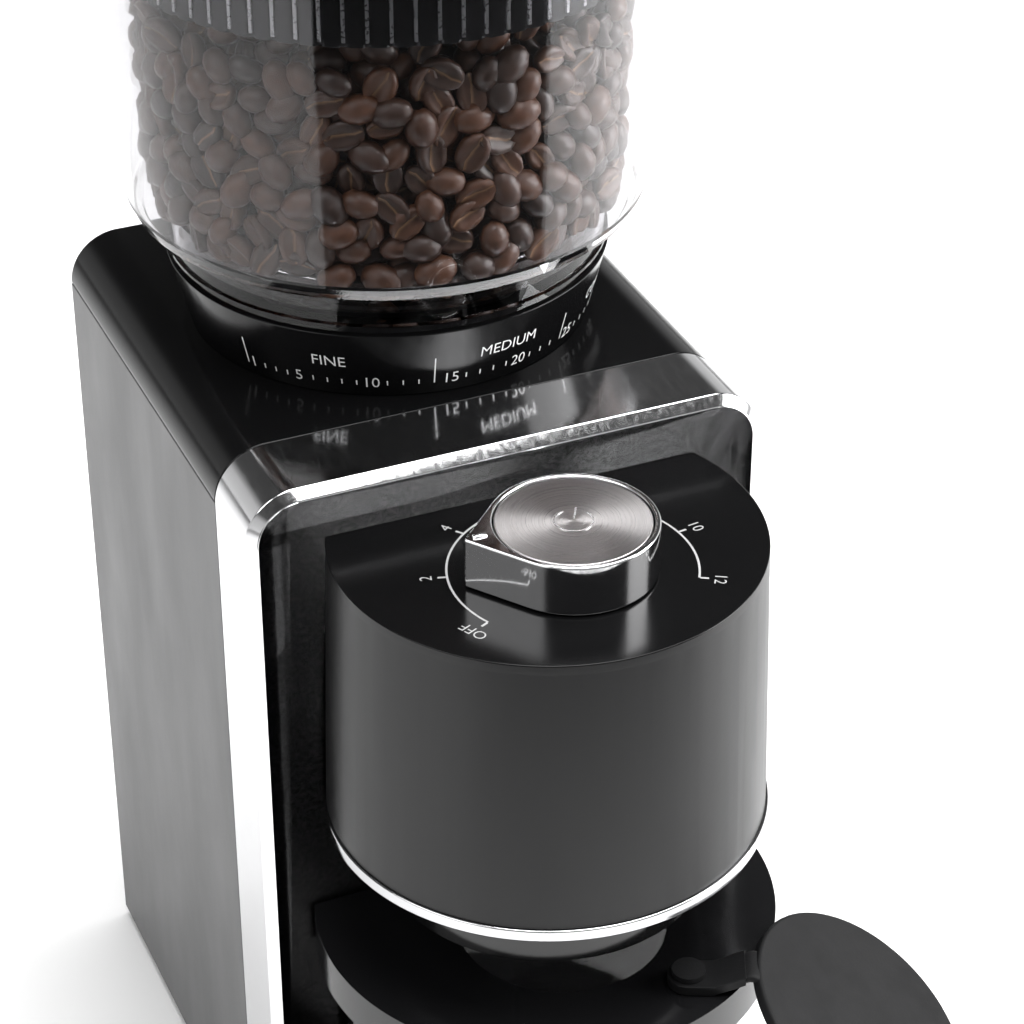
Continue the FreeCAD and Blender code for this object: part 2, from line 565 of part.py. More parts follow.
def make_burr_drive():
    cone_top = CONE_BURR_BOTTOM + CONE_BURR_HEIGHT
    cone = Part.makeCone(CONE_BURR_RADIUS, CONE_BURR_TOP, CONE_BURR_HEIGHT, vec(0, BURR_Y, CONE_BURR_BOTTOM))
    cone = cone.cut(disc(SHAFT_RADIUS, CONE_BURR_BOTTOM - 1, cone_top + 1, AXIS_BURR))
    flute = block(CONE_BURR_TOP - 2.5, CONE_BURR_RADIUS + 5, BURR_Y - 1.2, BURR_Y + 1.2,
                  CONE_BURR_BOTTOM + 6, cone_top + 1)
    flute.rotate(vec(CONE_BURR_TOP, BURR_Y, cone_top), vec(1, 0, 0), 20)
    flute.rotate(vec(CONE_BURR_TOP - 2.0, BURR_Y, cone_top), vec(0, 1, 0), -28)
    for cut in ring_of(flute, 8, AXIS_BURR):
        cone = cone.cut(cut)
    save("cone_burr", cone)

    nut_radius = 6.5
    corners = [math.radians(60 * i) for i in range(6)]
    nut_points = [(nut_radius * math.cos(a), BURR_Y + nut_radius * math.sin(a)) for a in corners]
    nut = prism(nut_points, cone_top, cone_top + 4)
    nut = nut.cut(disc(SHAFT_RADIUS, cone_top - 1, cone_top + 5, AXIS_BURR))
    save("burr_nut", nut)

    floor_top = CHAMBER_FLOOR + 6.0
    sweeper = tube(CONE_BURR_RADIUS, SHAFT_RADIUS, CONE_BURR_BOTTOM - 4, CONE_BURR_BOTTOM, AXIS_BURR)
    arm = block(CONE_BURR_RADIUS - 4, CHAMBER_RADIUS - 3, BURR_Y - 1.5, BURR_Y + 1.5,
                floor_top - 2, CONE_BURR_BOTTOM - 5)
    arm = arm.fuse(block(CONE_BURR_RADIUS - 4, CONE_BURR_RADIUS - 0.5, BURR_Y - 1.5, BURR_Y + 1.5,
                         floor_top - 2, CONE_BURR_BOTTOM - 2))
    for copy in ring_of(arm, 4, AXIS_BURR):
        sweeper = sweeper.fuse(copy)
    save("sweeper", sweeper)

    save("drive_shaft", disc(SHAFT_RADIUS, GEARBOX_FLOOR - 2.5, cone_top + 6, AXIS_BURR))


# ---- gear train -------------------------------------------------------------------------------
def idler_axis():
    """Where the idler meshes with both the motor's pinion and the output gear."""
    to_motor = GEAR_MODULE * (PINION_TEETH + IDLER_WHEEL_TEETH) / 2
    to_burr = GEAR_MODULE * (IDLER_PINION_TEETH + OUTPUT_TEETH) / 2
    span = BURR_Y - MOTOR_Y
    along = (to_motor ** 2 - to_burr ** 2 + span ** 2) / (2 * span)
    return (math.sqrt(to_motor ** 2 - along ** 2), MOTOR_Y + along)


AXIS_IDLER = idler_axis()
WHEEL_BOTTOM = GEARBOX_FLOOR + GEARBOX_WALL + 3.0
OUTPUT_BOTTOM = WHEEL_BOTTOM + IDLER_WHEEL_WIDTH + 5.0
GEARBOX_TOP = GEARBOX_FLOOR + GEARBOX_HEIGHT


def bearing_between(start, end):
    return math.degrees(math.atan2(end[1] - start[1], end[0] - start[0]))


def gearbox_outline(grow, z0, z1):
    output_tip = GEAR_MODULE * (OUTPUT_TEETH / 2 + 1)
    wheel_tip = GEAR_MODULE * (IDLER_WHEEL_TEETH / 2 + 1)
    pinion_tip = GEAR_MODULE * (PINION_TEETH / 2 + 1) + 10
    shape = disc(output_tip + grow, z0, z1, AXIS_BURR)
    shape = shape.fuse(disc(wheel_tip + grow, z0, z1, AXIS_IDLER))
    return shape.fuse(disc(pinion_tip + grow, z0, z1, AXIS_MOTOR))


GEARBOX_SCREWS = [(-34.0, 58.0), (34.0, 62.0), (-19.5, 20.0)]


def make_gears():
    floor_top = GEARBOX_FLOOR + GEARBOX_WALL
    box = gearbox_outline(GEAR_MARGIN + GEARBOX_WALL, GEARBOX_FLOOR, GEARBOX_TOP)
    for x, y in GEARBOX_SCREWS:
        box = box.fuse(disc(4.5, GEARBOX_FLOOR, GEARBOX_TOP, (x, y)))
    box = box.cut(gearbox_outline(GEAR_MARGIN, floor_top, GEARBOX_TOP + 1))
    cover = gearbox_outline(GEAR_MARGIN + GEARBOX_WALL, GEARBOX_TOP, GEARBOX_TOP + GEARBOX_WALL)
    cover = cover.cut(disc(BUSH_RADIUS, GEARBOX_TOP - 1, GEARBOX_TOP + 9, AXIS_BURR))
    for x, y in GEARBOX_SCREWS:
        boss = disc(4.5, GEARBOX_TOP, GEARBOX_TOP + GEARBOX_WALL, (x, y))
        cover = cover.fuse(boss).cut(disc(SCREW_RADIUS, 0, 400, (x, y)))
        box = box.cut(disc(SCREW_RADIUS, GEARBOX_TOP - 12, GEARBOX_TOP + 1, (x, y)))
    box = box.cut(disc(BUSH_RADIUS, 0, 400, AXIS_BURR))
    box = box.cut(disc(AXLE_RADIUS, 0, 400, AXIS_IDLER))
    box = box.cut(disc(MOTOR_SHAFT_RADIUS + 1.0, 0, 400, AXIS_MOTOR))
    cover = cover.cut(disc(AXLE_RADIUS, 0, 400, AXIS_IDLER))
    save("gearbox_housing", box)
    save("gearbox_cover", cover)
    cover_top = GEARBOX_TOP + GEARBOX_WALL
    save("gearbox_screws", [screw(x, y, cover_top, 12.0) for x, y in GEARBOX_SCREWS])
    save("idler_axle", disc(AXLE_RADIUS, GEARBOX_FLOOR, cover_top, AXIS_IDLER))

    to_idler = bearing_between(AXIS_BURR, AXIS_IDLER)
    output = involute_gear(OUTPUT_TEETH, OUTPUT_BOTTOM, OUTPUT_BOTTOM + OUTPUT_WIDTH, AXIS_BURR,
                           SHAFT_RADIUS, to_idler)
    pocket = tube(22.0, 9.0, OUTPUT_BOTTOM + 5.0, OUTPUT_BOTTOM + OUTPUT_WIDTH + 1, AXIS_BURR)
    save("output_gear", output.cut(pocket))

    small_phase = to_idler + 180.0 + 180.0 / IDLER_PINION_TEETH
    small = involute_gear(IDLER_PINION_TEETH, OUTPUT_BOTTOM, OUTPUT_BOTTOM + OUTPUT_WIDTH, AXIS_IDLER,
                          AXLE_RADIUS + RUNNING_CLEARANCE, small_phase)
    to_pinion = bearing_between(AXIS_IDLER, AXIS_MOTOR)
    wheel = involute_gear(IDLER_WHEEL_TEETH, WHEEL_BOTTOM, WHEEL_BOTTOM + IDLER_WHEEL_WIDTH, AXIS_IDLER,
                          AXLE_RADIUS + RUNNING_CLEARANCE, to_pinion)
    hub = tube(5.5, AXLE_RADIUS + RUNNING_CLEARANCE, WHEEL_BOTTOM, OUTPUT_BOTTOM + 1, AXIS_IDLER)
    save("idler_gear", wheel.fuse(hub).fuse(small))

    pinion_phase = to_pinion + 180.0 + 180.0 / PINION_TEETH
    pinion = involute_gear(PINION_TEETH, WHEEL_BOTTOM - 1, WHEEL_BOTTOM + IDLER_WHEEL_WIDTH + 1, AXIS_MOTOR,
                           MOTOR_SHAFT_RADIUS, pinion_phase)
    save("motor_pinion", pinion)


# ---- motor ------------------------------------------------------------------------------------
def make_motor():
    top = GEARBOX_FLOOR
    bottom = top - MOTOR_LENGTH
    bore = MOTOR_SHAFT_RADIUS + RUNNING_CLEARANCE
    can = disc(MOTOR_RADIUS, bottom, top, AXIS_MOTOR)
    can = can.cut(disc(MOTOR_RADIUS - MOTOR_WALL, bottom - 1, top - MOTOR_WALL, AXIS_MOTOR))
    can = can.cut(disc(bore, 0, 400, AXIS_MOTOR))
    save("motor_can", can)

    bell = disc(MOTOR_RADIUS, bottom - 5, bottom, AXIS_MOTOR).cut(disc(bore, 0, 400, AXIS_MOTOR))
    vent = block(12, 22, MOTOR_Y - 4, MOTOR_Y + 4, bottom - 6, bottom + 1)
    for cut in ring_of(vent, 4, AXIS_MOTOR, 45.0):
        bell = bell.cut(cut)
    save("motor_end_bell", bell)

    magnet_bottom, magnet_top = bottom + 18, top - 12
    magnet_outer = MOTOR_RADIUS - MOTOR_WALL
    magnets = tube(magnet_outer, magnet_outer - MAGNET_WALL, magnet_bottom, magnet_top, AXIS_MOTOR)
    magnets = magnets.cut(block(-6, 6, MOTOR_Y - 50, MOTOR_Y + 50, 0, 400))
    save("motor_magnets", magnets.Solids)

    rotor_radius = magnet_outer - MAGNET_WALL - ROTOR_AIR
    rotor = disc(rotor_radius, magnet_bottom + 2, magnet_top - 2, AXIS_MOTOR)
    rotor = rotor.cut(disc(MOTOR_SHAFT_RADIUS, 0, 400, AXIS_MOTOR))
    slot = block(rotor_radius - 8, rotor_radius + 1, MOTOR_Y - 1.6, MOTOR_Y + 1.6, magnet_bottom, magnet_top)
    for cut in ring_of(slot, 12, AXIS_MOTOR):
        rotor = rotor.cut(cut)
    save("motor_rotor", rotor)
    save("commutator", tube(8.0, MOTOR_SHAFT_RADIUS, bottom + 3, bottom + 15, AXIS_MOTOR))
    brush = block(8.4, 18, MOTOR_Y - 2.5, MOTOR_Y + 2.5, bottom + 5, bottom + 12)
    brush = brush.cut(disc(8.3, 0, 400, AXIS_MOTOR))
    save("motor_brushes", ring_of(brush, 2, AXIS_MOTOR))

    fan_bottom = bottom - 5 - 14
    shaft_top = WHEEL_BOTTOM + IDLER_WHEEL_WIDTH + 1
    save("motor_shaft", disc(MOTOR_SHAFT_RADIUS, fan_bottom, shaft_top, AXIS_MOTOR))
    fan = tube(9.0, MOTOR_SHAFT_RADIUS, fan_bottom, fan_bottom + 10, AXIS_MOTOR)
    fan = fan.fuse(tube(26.0, 8.0, fan_bottom, fan_bottom + 1.6, AXIS_MOTOR))
    blade = block(8.5, 26.0, MOTOR_Y - 0.8, MOTOR_Y + 0.8, fan_bottom, fan_bottom + 10)
    for copy in ring_of(blade, 9, AXIS_MOTOR):
        fan = fan.fuse(copy)
    save("cooling_fan", fan)


# ---- hopper -----------------------------------------------------------------------------------
def make_hopper():
    neck_bottom = COLLAR_TOP + NECK_GAP
    corner = HOPPER_CORNER * (1 - math.cos(math.pi / 4))
    lean = (HOPPER_RIM_RADIUS - HOPPER_BOTTOM_RADIUS) / (HOPPER_RIM - HOPPER_BOTTOM)
    floor_top = HOPPER_BOTTOM + 2.1
    throat_top = neck_bottom - 3.0
    outer = [
        (THROAT_RADIUS, THROAT_BOTTOM), (THROAT_RADIUS, throat_top - THROAT_WALL),
        (COLLAR_BORE - 3.0, neck_bottom), (NECK_RADIUS, neck_bottom),
        (NECK_RADIUS, neck_bottom + 1.0), (NECK_RADIUS + NECK_RIDGE, neck_bottom + 1.3),
        (NECK_RADIUS + NECK_RIDGE, neck_bottom + 2.0), (NECK_RADIUS, neck_bottom + 2.3),
        (NECK_RADIUS, HOPPER_BOTTOM),
        (HOPPER_BOTTOM_RADIUS - HOPPER_CORNER, HOPPER_BOTTOM),
        (HOPPER_BOTTOM_RADIUS - corner, HOPPER_BOTTOM + corner),
        (HOPPER_BOTTOM_RADIUS + lean * HOPPER_CORNER, HOPPER_BOTTOM + HOPPER_CORNER),
        (HOPPER_RIM_RADIUS, HOPPER_RIM),
    ]
    inner = [
        (HOPPER_RIM_RADIUS - HOPPER_WALL, HOPPER_RIM),
        (HOPPER_BOTTOM_RADIUS - HOPPER_WALL + lean * 4, floor_top + 2.5),
        (HOPPER_BOTTOM_RADIUS - HOPPER_WALL - 2.0, floor_top),
        (NECK_RADIUS - NECK_WALL, floor_top), (NECK_RADIUS - NECK_WALL, neck_bottom + 4.5),
        (THROAT_RADIUS - THROAT_WALL, throat_top), (THROAT_RADIUS - THROAT_WALL, THROAT_BOTTOM),
    ]
    hopper = turned(outer + inner, AXIS_BURR)
    lug_bottom = THROAT_BOTTOM + 3.0
    lug = block(THROAT_RADIUS - 1.0, THROAT_BORE + LUG_REACH - 0.5, BURR_Y - LUG_WIDTH / 2,
                BURR_Y + LUG_WIDTH / 2, lug_bottom, lug_bottom + LUG_HEIGHT)
    for copy in ring_of(lug, 3, AXIS_BURR):
        hopper = hopper.fuse(copy)
    save("hopper", hopper)

    skirt_bottom = HOPPER_RIM - LID_SKIRT_DEPTH
    skirt_radius = HOPPER_RIM_RADIUS - HOPPER_WALL - lean * LID_SKIRT_DEPTH - LID_CLEARANCE
    lid = tube(skirt_radius, skirt_radius - LID_SKIRT_WALL, skirt_bottom, HOPPER_RIM + 0.5, AXIS_BURR)
    plate_bottom = HOPPER_RIM + 0.1
    lid = lid.fuse(disc(HOPPER_RIM_RADIUS + LID_OVERHANG, plate_bottom, plate_bottom + LID_PLATE, AXIS_BURR))
    half_length, half_width = LID_GRIP_LENGTH / 2, LID_GRIP_WIDTH / 2
    lid = lid.fuse(block(-half_length, half_length, BURR_Y - half_width, BURR_Y + half_width,
                         plate_bottom + LID_PLATE - 0.5, plate_bottom + LID_PLATE + LID_GRIP_HEIGHT))
    groove_radius = 1.0
    flute = disc(groove_radius, skirt_bottom - 1, HOPPER_RIM - 3.0, (skirt_radius + 0.35, BURR_Y))
    flutes = Part.makeCompound(ring_of(flute, LID_FLUTES, AXIS_BURR))
    save("hopper_lid", lid.cut(flutes))


# ---- container --------------------------------------------------------------------------------
def tub(radius, back_wall, z0, z1):
    """A round form with a flat back that parks against the front plate."""
    return in_front_of_plate(disc(radius, z0, z1, AXIS_DRUM), PARK_GAP + back_wall)


def make_container():
    bottom = BASE_TOP + CONTAINER_GAP
    plate_bottom = CONTAINER_LID_TOP - CONTAINER_LID_PLATE
    top = plate_bottom - 0.3
    bore = CONTAINER_RADIUS - CONTAINER_WALL
    back = CONTAINER_LID_SKIRT + PLUG_CLEARANCE
    jar = tub(CONTAINER_RADIUS, back, bottom, top)
    jar = jar.cut(tub(bore, back + CONTAINER_WALL, bottom + CONTAINER_WALL, top + 1))
    save("container", jar)

    lid = tub(CONTAINER_LID_RADIUS, 0, plate_bottom, CONTAINER_LID_TOP)
    skirt_bottom = CONTAINER_LID_TOP - CONTAINER_LID_HEIGHT
    skirt = tub(CONTAINER_LID_RADIUS, 0, skirt_bottom, plate_bottom + 1)
    skirt = skirt.cut(tub(CONTAINER_LID_RADIUS - CONTAINER_LID_SKIRT, CONTAINER_LID_SKIRT,
                          skirt_bottom - 1, plate_bottom))
    plug = bore - PLUG_CLEARANCE
    plug_back = back + CONTAINER_WALL + PLUG_CLEARANCE
    rim = tub(plug, plug_back, plate_bottom - PLUG_DEPTH, plate_bottom + 1)
    rim = rim.cut(tub(plug - PLUG_WALL, plug_back + PLUG_WALL, 0, plate_bottom + 2))
    lid = lid.fuse(skirt).fuse(rim)
    lid = lid.cut(disc(FILL_HOLE_RADIUS, 0, 400, (0.0, FILL_HOLE_Y)))
    lid = lid.cut(disc(PIN_RADIUS - 0.5, plate_bottom - 1, 400, FLAP_PIN))
    save("container_lid", lid)
    seal_bottom = plate_bottom - PLUG_DEPTH + 1.0
    seal = tub(plug + 0.25, plug_back - 0.25, seal_bottom, seal_bottom + 2.0)
    save("container_seal", seal.cut(tub(plug, plug_back, 0, 400)))

    strap_top = CONTAINER_LID_TOP + 0.2 + STRAP_WALL
    pin = disc(PIN_RADIUS - 0.5, plate_bottom, CONTAINER_LID_TOP, FLAP_PIN)
    pin = pin.fuse(disc(PIN_RADIUS, CONTAINER_LID_TOP, strap_top + 0.2, FLAP_PIN))
    pin = pin.fuse(disc(PIN_HEAD_RADIUS, strap_top + 0.2, strap_top + 1.6, FLAP_PIN))
    save("flap_pin", pin)


def make_flap():
    """The strap and disc are modelled along +X from the pin, then turned to where the flap lies."""
    low = CONTAINER_LID_TOP + 0.2
    rise = FLAP_DISC_EDGE_HEIGHT - 0.2 - STRAP_WALL - 0.6
    end = FLAP_REACH - STRAP_GAP
    bend = 6.0
    side = [vec(0, -STRAP_WIDTH / 2, low), vec(bend, -STRAP_WIDTH / 2, low),
            vec(end, -STRAP_WIDTH / 2, low + rise), vec(end, -STRAP_WIDTH / 2, low + rise + STRAP_WALL),
            vec(bend, -STRAP_WIDTH / 2, low + STRAP_WALL), vec(0, -STRAP_WIDTH / 2, low + STRAP_WALL)]
    strap = Part.Face(Part.makePolygon(side + side[:1])).extrude(vec(0, STRAP_WIDTH, 0))
    strap = strap.fuse(disc(STRAP_WIDTH / 2, low, low + STRAP_WALL))
    strap = strap.cut(disc(PIN_RADIUS + RUNNING_CLEARANCE, low - 1, low + STRAP_WALL + 1))
    strap.rotate(vec(0, 0), Z_AXIS, FLAP_ANGLE)
    strap.translate(vec(*FLAP_PIN))
    save("flap_strap", strap)

    edge_z = CONTAINER_LID_TOP + FLAP_DISC_EDGE_HEIGHT
    near_edge = vec(FLAP_REACH, 0, edge_z)
    centre_x = FLAP_REACH + FLAP_DISC_RADIUS
    flap = disc(FLAP_DISC_RADIUS, edge_z - FLAP_DISC_WALL, edge_z, (centre_x, 0))
    plug_bottom = edge_z - FLAP_DISC_WALL - FLAP_PLUG_HEIGHT
    flap = flap.fuse(tube(FILL_HOLE_RADIUS - 0.8, FILL_HOLE_RADIUS - 3.0, plug_bottom,
                          edge_z - FLAP_DISC_WALL, (centre_x, 0)))
    flap.rotate(near_edge, vec(1, 0, 0), -FLAP_TWIST)
    flap.rotate(near_edge, vec(0, 1, 0), FLAP_DROOP)
    flap.rotate(vec(0, 0), Z_AXIS, FLAP_ANGLE)
    flap.translate(vec(*FLAP_PIN))
    save("flap_disc", flap)


# ---- electrics --------------------------------------------------------------------------------
def make_electrics():
    board_y = BODY_BACK - SHELL_WALL - 14.0
    board = block(-35, 35, board_y, board_y + 1.6, 44, 104)
    pillars = []
    for x in (-30.0, 30.0):
        for z in (50.0, 98.0):
            pillars.append(Part.makeCylinder(3.0, BODY_BACK - SHELL_WALL - board_y - 1.6,
                                             vec(x, board_y + 1.6, z), vec(0, 1)))
    save("control_board", board)
    save("board_pillars", pillars)
    save("board_relay", block(-28, -9, board_y - 15, board_y, 60, 76))
    capacitor = Part.makeCylinder(6.0, 20, vec(12, board_y - 20, 66), vec(0, 1))
    save("board_capacitor", capacitor)
    burr_back = BURR_Y + CHAMBER_RADIUS + CHAMBER_WALL
    save("interlock_switch", block(-10, 10, burr_back + 1, burr_back + 8, 206, BODY_CROWN - SHELL_WALL))


os.makedirs("parts", exist_ok=True)
make_base()
make_body()
make_drum()
make_knob()
make_burr_housing()
make_adjuster()
make_burr_drive()
make_gears()
make_motor()
make_hopper()
make_container()
make_flap()
make_electrics()
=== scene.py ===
import json
import math
import random

import bmesh
import bpy
from mathutils import Matrix, Vector

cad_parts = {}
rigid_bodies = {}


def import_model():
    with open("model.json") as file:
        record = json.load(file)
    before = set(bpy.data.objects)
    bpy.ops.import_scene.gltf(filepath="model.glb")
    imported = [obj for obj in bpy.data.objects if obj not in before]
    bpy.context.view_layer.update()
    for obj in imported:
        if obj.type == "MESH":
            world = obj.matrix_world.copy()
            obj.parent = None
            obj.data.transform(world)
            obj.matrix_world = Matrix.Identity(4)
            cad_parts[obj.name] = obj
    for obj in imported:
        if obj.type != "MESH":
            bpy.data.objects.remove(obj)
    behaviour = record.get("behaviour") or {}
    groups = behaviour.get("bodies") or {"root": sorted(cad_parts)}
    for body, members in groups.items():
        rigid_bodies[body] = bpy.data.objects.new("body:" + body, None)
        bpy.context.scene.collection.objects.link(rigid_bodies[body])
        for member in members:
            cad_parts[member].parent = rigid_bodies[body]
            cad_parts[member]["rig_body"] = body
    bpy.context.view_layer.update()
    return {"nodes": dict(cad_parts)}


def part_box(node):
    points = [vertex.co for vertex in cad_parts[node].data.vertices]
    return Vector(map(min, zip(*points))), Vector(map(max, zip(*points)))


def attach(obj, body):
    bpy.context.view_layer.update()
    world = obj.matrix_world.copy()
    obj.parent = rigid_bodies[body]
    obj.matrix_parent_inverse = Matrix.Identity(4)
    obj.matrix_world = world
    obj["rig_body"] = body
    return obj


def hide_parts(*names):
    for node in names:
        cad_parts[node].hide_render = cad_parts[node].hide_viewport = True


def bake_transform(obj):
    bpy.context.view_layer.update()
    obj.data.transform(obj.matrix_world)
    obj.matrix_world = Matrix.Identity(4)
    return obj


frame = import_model()
node = frame["nodes"]

# ---- Base -------------------------------------------------------------------------------------
# The base is moulded in black ABS with a fine spark-eroded grain. A flat cover closes it from
# below, held by four zinc-plated screws, and four soft rubber feet are pressed into it.


def wire(tree, a, b):
    tree.links.new(a, b)


def speckle(tree, size, detail=3.0, stretch=(1.0, 1.0, 1.0), centre=(0.0, 0.0, 0.0)):
    """Noise of that grain size in metres, in the piece's own coordinates."""
    where = tree.nodes.new("ShaderNodeTexCoord")
    place = tree.nodes.new("ShaderNodeMapping")
    place.inputs["Location"].default_value = centre
    place.inputs["Scale"].default_value = stretch
    grain = tree.nodes.new("ShaderNodeTexNoise")
    grain.inputs["Scale"].default_value = 1.0 / size
    grain.inputs["Detail"].default_value = detail
    wire(tree, where.outputs["Object"], place.inputs["Vector"])
    wire(tree, place.outputs["Vector"], grain.inputs["Vector"])
    return grain.outputs["Fac"]


def between(tree, factor, low, high, start=0.3, stop=0.7):
    """Spreads a factor to a value between low and high."""
    spread = tree.nodes.new("ShaderNodeMapRange")
    spread.inputs["From Min"].default_value = start
    spread.inputs["From Max"].default_value = stop
    spread.inputs["To Min"].default_value = low
    spread.inputs["To Max"].default_value = high
    wire(tree, factor, spread.inputs["Value"])
    return spread.outputs["Result"]


def two_tone(tree, factor, dark, light):
    """A colour between dark and light."""
    ramp = tree.nodes.new("ShaderNodeValToRGB")
    ramp.color_ramp.elements[0].position = 0.32
    ramp.color_ramp.elements[1].position = 0.68
    ramp.color_ramp.elements[0].color = (*dark, 1)
    ramp.color_ramp.elements[1].color = (*light, 1)
    wire(tree, factor, ramp.inputs["Fac"])
    return ramp.outputs["Color"]


def rough_skin(tree, shader, height, depth, strength=1.0):
    bump = tree.nodes.new("ShaderNodeBump")
    bump.inputs["Distance"].default_value = depth
    bump.inputs["Strength"].default_value = strength
    wire(tree, height, bump.inputs["Height"])
    wire(tree, bump.outputs["Normal"], shader.inputs["Normal"])


def new_finish(name):
    finish = bpy.data.materials.new(name)
    finish.use_nodes = True
    tree = finish.node_tree
    return finish, tree, tree.nodes["Principled BSDF"]


def scaled(colour, by):
    return tuple(min(1.0, c * by) for c in colour)


def placed(name, data):
    """A new object, linked into the scene."""
    thing = bpy.data.objects.new(name, data)
    bpy.context.scene.collection.objects.link(thing)
    return thing


def plain_mesh(shape, name):
    """The worked shape as a mesh of that name. The working copy is freed."""
    mesh = bpy.data.meshes.new(name)
    shape.to_mesh(mesh)
    shape.free()
    return mesh


def evaluated(thing):
    """A plain mesh of what an object looks like with its modifiers."""
    return bpy.data.meshes.new_from_object(thing.evaluated_get(bpy.context.evaluated_depsgraph_get()))


def moulding(name, colour, gloss=0.5, grain=0.0005, depth=0.00002, blotch=0.12, specular=0.5):
    """A moulded plastic: grain in the skin, handling marks in the gloss, faint flow in the colour."""
    finish, tree, shader = new_finish(name)
    shader.inputs["Specular IOR Level"].default_value = specular
    flow = speckle(tree, 0.03, 4.0)
    wire(tree, two_tone(tree, flow, scaled(colour, 1 - blotch), scaled(colour, 1 + blotch)),
         shader.inputs["Base Color"])
    marks = speckle(tree, 0.012, 5.0)
    wire(tree, between(tree, marks, gloss * 0.85, gloss * 1.2), shader.inputs["Roughness"])
    rough_skin(tree, shader, speckle(tree, grain, 2.0), depth)
    return finish


def bare_metal(name, colour, gloss=0.25, stretch=(1.0, 1.0, 1.0), grain=0.0006, depth=0.000004,
               blotch=0.08):
    """A bare or plated metal: tool marks drawn out along the stretch, and stains in the gloss."""
    finish, tree, shader = new_finish(name)
    shader.inputs["Metallic"].default_value = 1.0
    marks = speckle(tree, grain, 4.0, stretch)
    stains = speckle(tree, 0.015, 5.0)
    wire(tree, two_tone(tree, stains, scaled(colour, 1 - blotch), scaled(colour, 1 + blotch)),
         shader.inputs["Base Color"])
    wire(tree, between(tree, marks, gloss * 0.7, gloss * 1.35), shader.inputs["Roughness"])
    rough_skin(tree, shader, marks, depth)
    return finish


def dress(finish, *names):
    for name in names:
        slots = node[name].data.materials
        slots.clear()
        slots.append(finish)


weld_distance, flat_angle, corner_angle = 0.000002, math.radians(0.4), math.radians(28)
front_depth, least_outward, least_upward = 0.0001, 0.001, 0.1


def eased(name, width, finish, bends=2, front_bevel=0.0, reach=(-1.0, 1.0)):
    """The node's own shape with its sharp edges rounded by that width, standing in for it.

    A front bevel first takes a flat facet off the outer edge that faces the front. Only edges
    between the two heights of the reach are rounded.
    """
    shape = bmesh.new()
    shape.from_mesh(node[name].data)
    bmesh.ops.remove_doubles(shape, verts=shape.verts, dist=weld_distance)
    bmesh.ops.dissolve_limit(shape, angle_limit=flat_angle, verts=shape.verts, edges=shape.edges)
    if front_bevel:
        front = min(v.co.y for v in shape.verts) + front_depth
        rim = [e for e in shape.edges if all(v.co.y < front for v in e.verts)
               and any(f.normal.x * e.verts[0].co.x > least_outward or f.normal.z > least_upward
                       for f in e.link_faces)]
        bmesh.ops.bevel(shape, geom=rim, offset=front_bevel, segments=1, affect="EDGES", clamp_overlap=True)
    corners = [e for e in shape.edges if len(e.link_faces) == 2 and e.calc_face_angle(0) > corner_angle]
    sharp = [e for e in corners if all(reach[0] < v.co.z < reach[1] for v in e.verts)]
    for e in corners:
        e.smooth = e in sharp
    bmesh.ops.bevel(shape, geom=sharp, offset=width, segments=bends, profile=0.5, affect="EDGES",
                    clamp_overlap=True)
    for f in shape.faces:
        f.smooth = True
    carrier = placed(name + "_eased", plain_mesh(shape, name + "_eased"))
    weights = carrier.modifiers.new("weights", "WEIGHTED_NORMAL")
    weights.keep_sharp = True
    flat = evaluated(carrier)
    carrier.modifiers.remove(weights)
    carrier.data = flat
    flat.materials.clear()
    flat.materials.append(finish)
    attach(carrier, node[name]["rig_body"])
    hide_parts(name)
    return carrier


black_abs = moulding("black_abs", (0.018, 0.018, 0.019), 0.55, 0.0007, 0.00006)
foot_rubber = moulding("foot_rubber", (0.028, 0.027, 0.026), 0.85, 0.0009, 0.00008, 0.2, 0.3)
zinc_plate = bare_metal("zinc_plate", (0.62, 0.64, 0.66), 0.32)
dress(black_abs, "base_cover")
eased("base_housing", 0.0006, black_abs)
eased("rubber_feet", 0.0008, foot_rubber)
dress(zinc_plate, "base_screws", "back_panel_screws", "gearbox_screws")

# ---- Motor ------------------------------------------------------------------------------------
# A brushed mains motor stands in the middle of the body: a drawn steel can with ferrite magnets,
# a laminated rotor with its copper commutator and carbon brushes, and a nylon fan underneath.

# The scale at which the wave texture repeats once in a metre.
wave_scale_of_one_metre = 0.314


def laminated(name, colour, pitch):
    """Stacked sheet steel: a thin dark line across the height at every pitch, in metres."""
    finish, tree, shader = new_finish(name)
    shader.inputs["Metallic"].default_value = 0.9
    where = tree.nodes.new("ShaderNodeTexCoord")
    sheets = tree.nodes.new("ShaderNodeTexWave")
    sheets.bands_direction = "Z"
    sheets.inputs["Scale"].default_value = wave_scale_of_one_metre / pitch
    sheets.inputs["Distortion"].default_value = 0.3
    wire(tree, where.outputs["Object"], sheets.inputs["Vector"])
    wire(tree, two_tone(tree, sheets.outputs["Fac"], scaled(colour, 0.45), colour),
         shader.inputs["Base Color"])
    wire(tree, between(tree, speckle(tree, 0.004), 0.35, 0.6), shader.inputs["Roughness"])
    rough_skin(tree, shader, sheets.outputs["Fac"], 0.00003)
    return finish


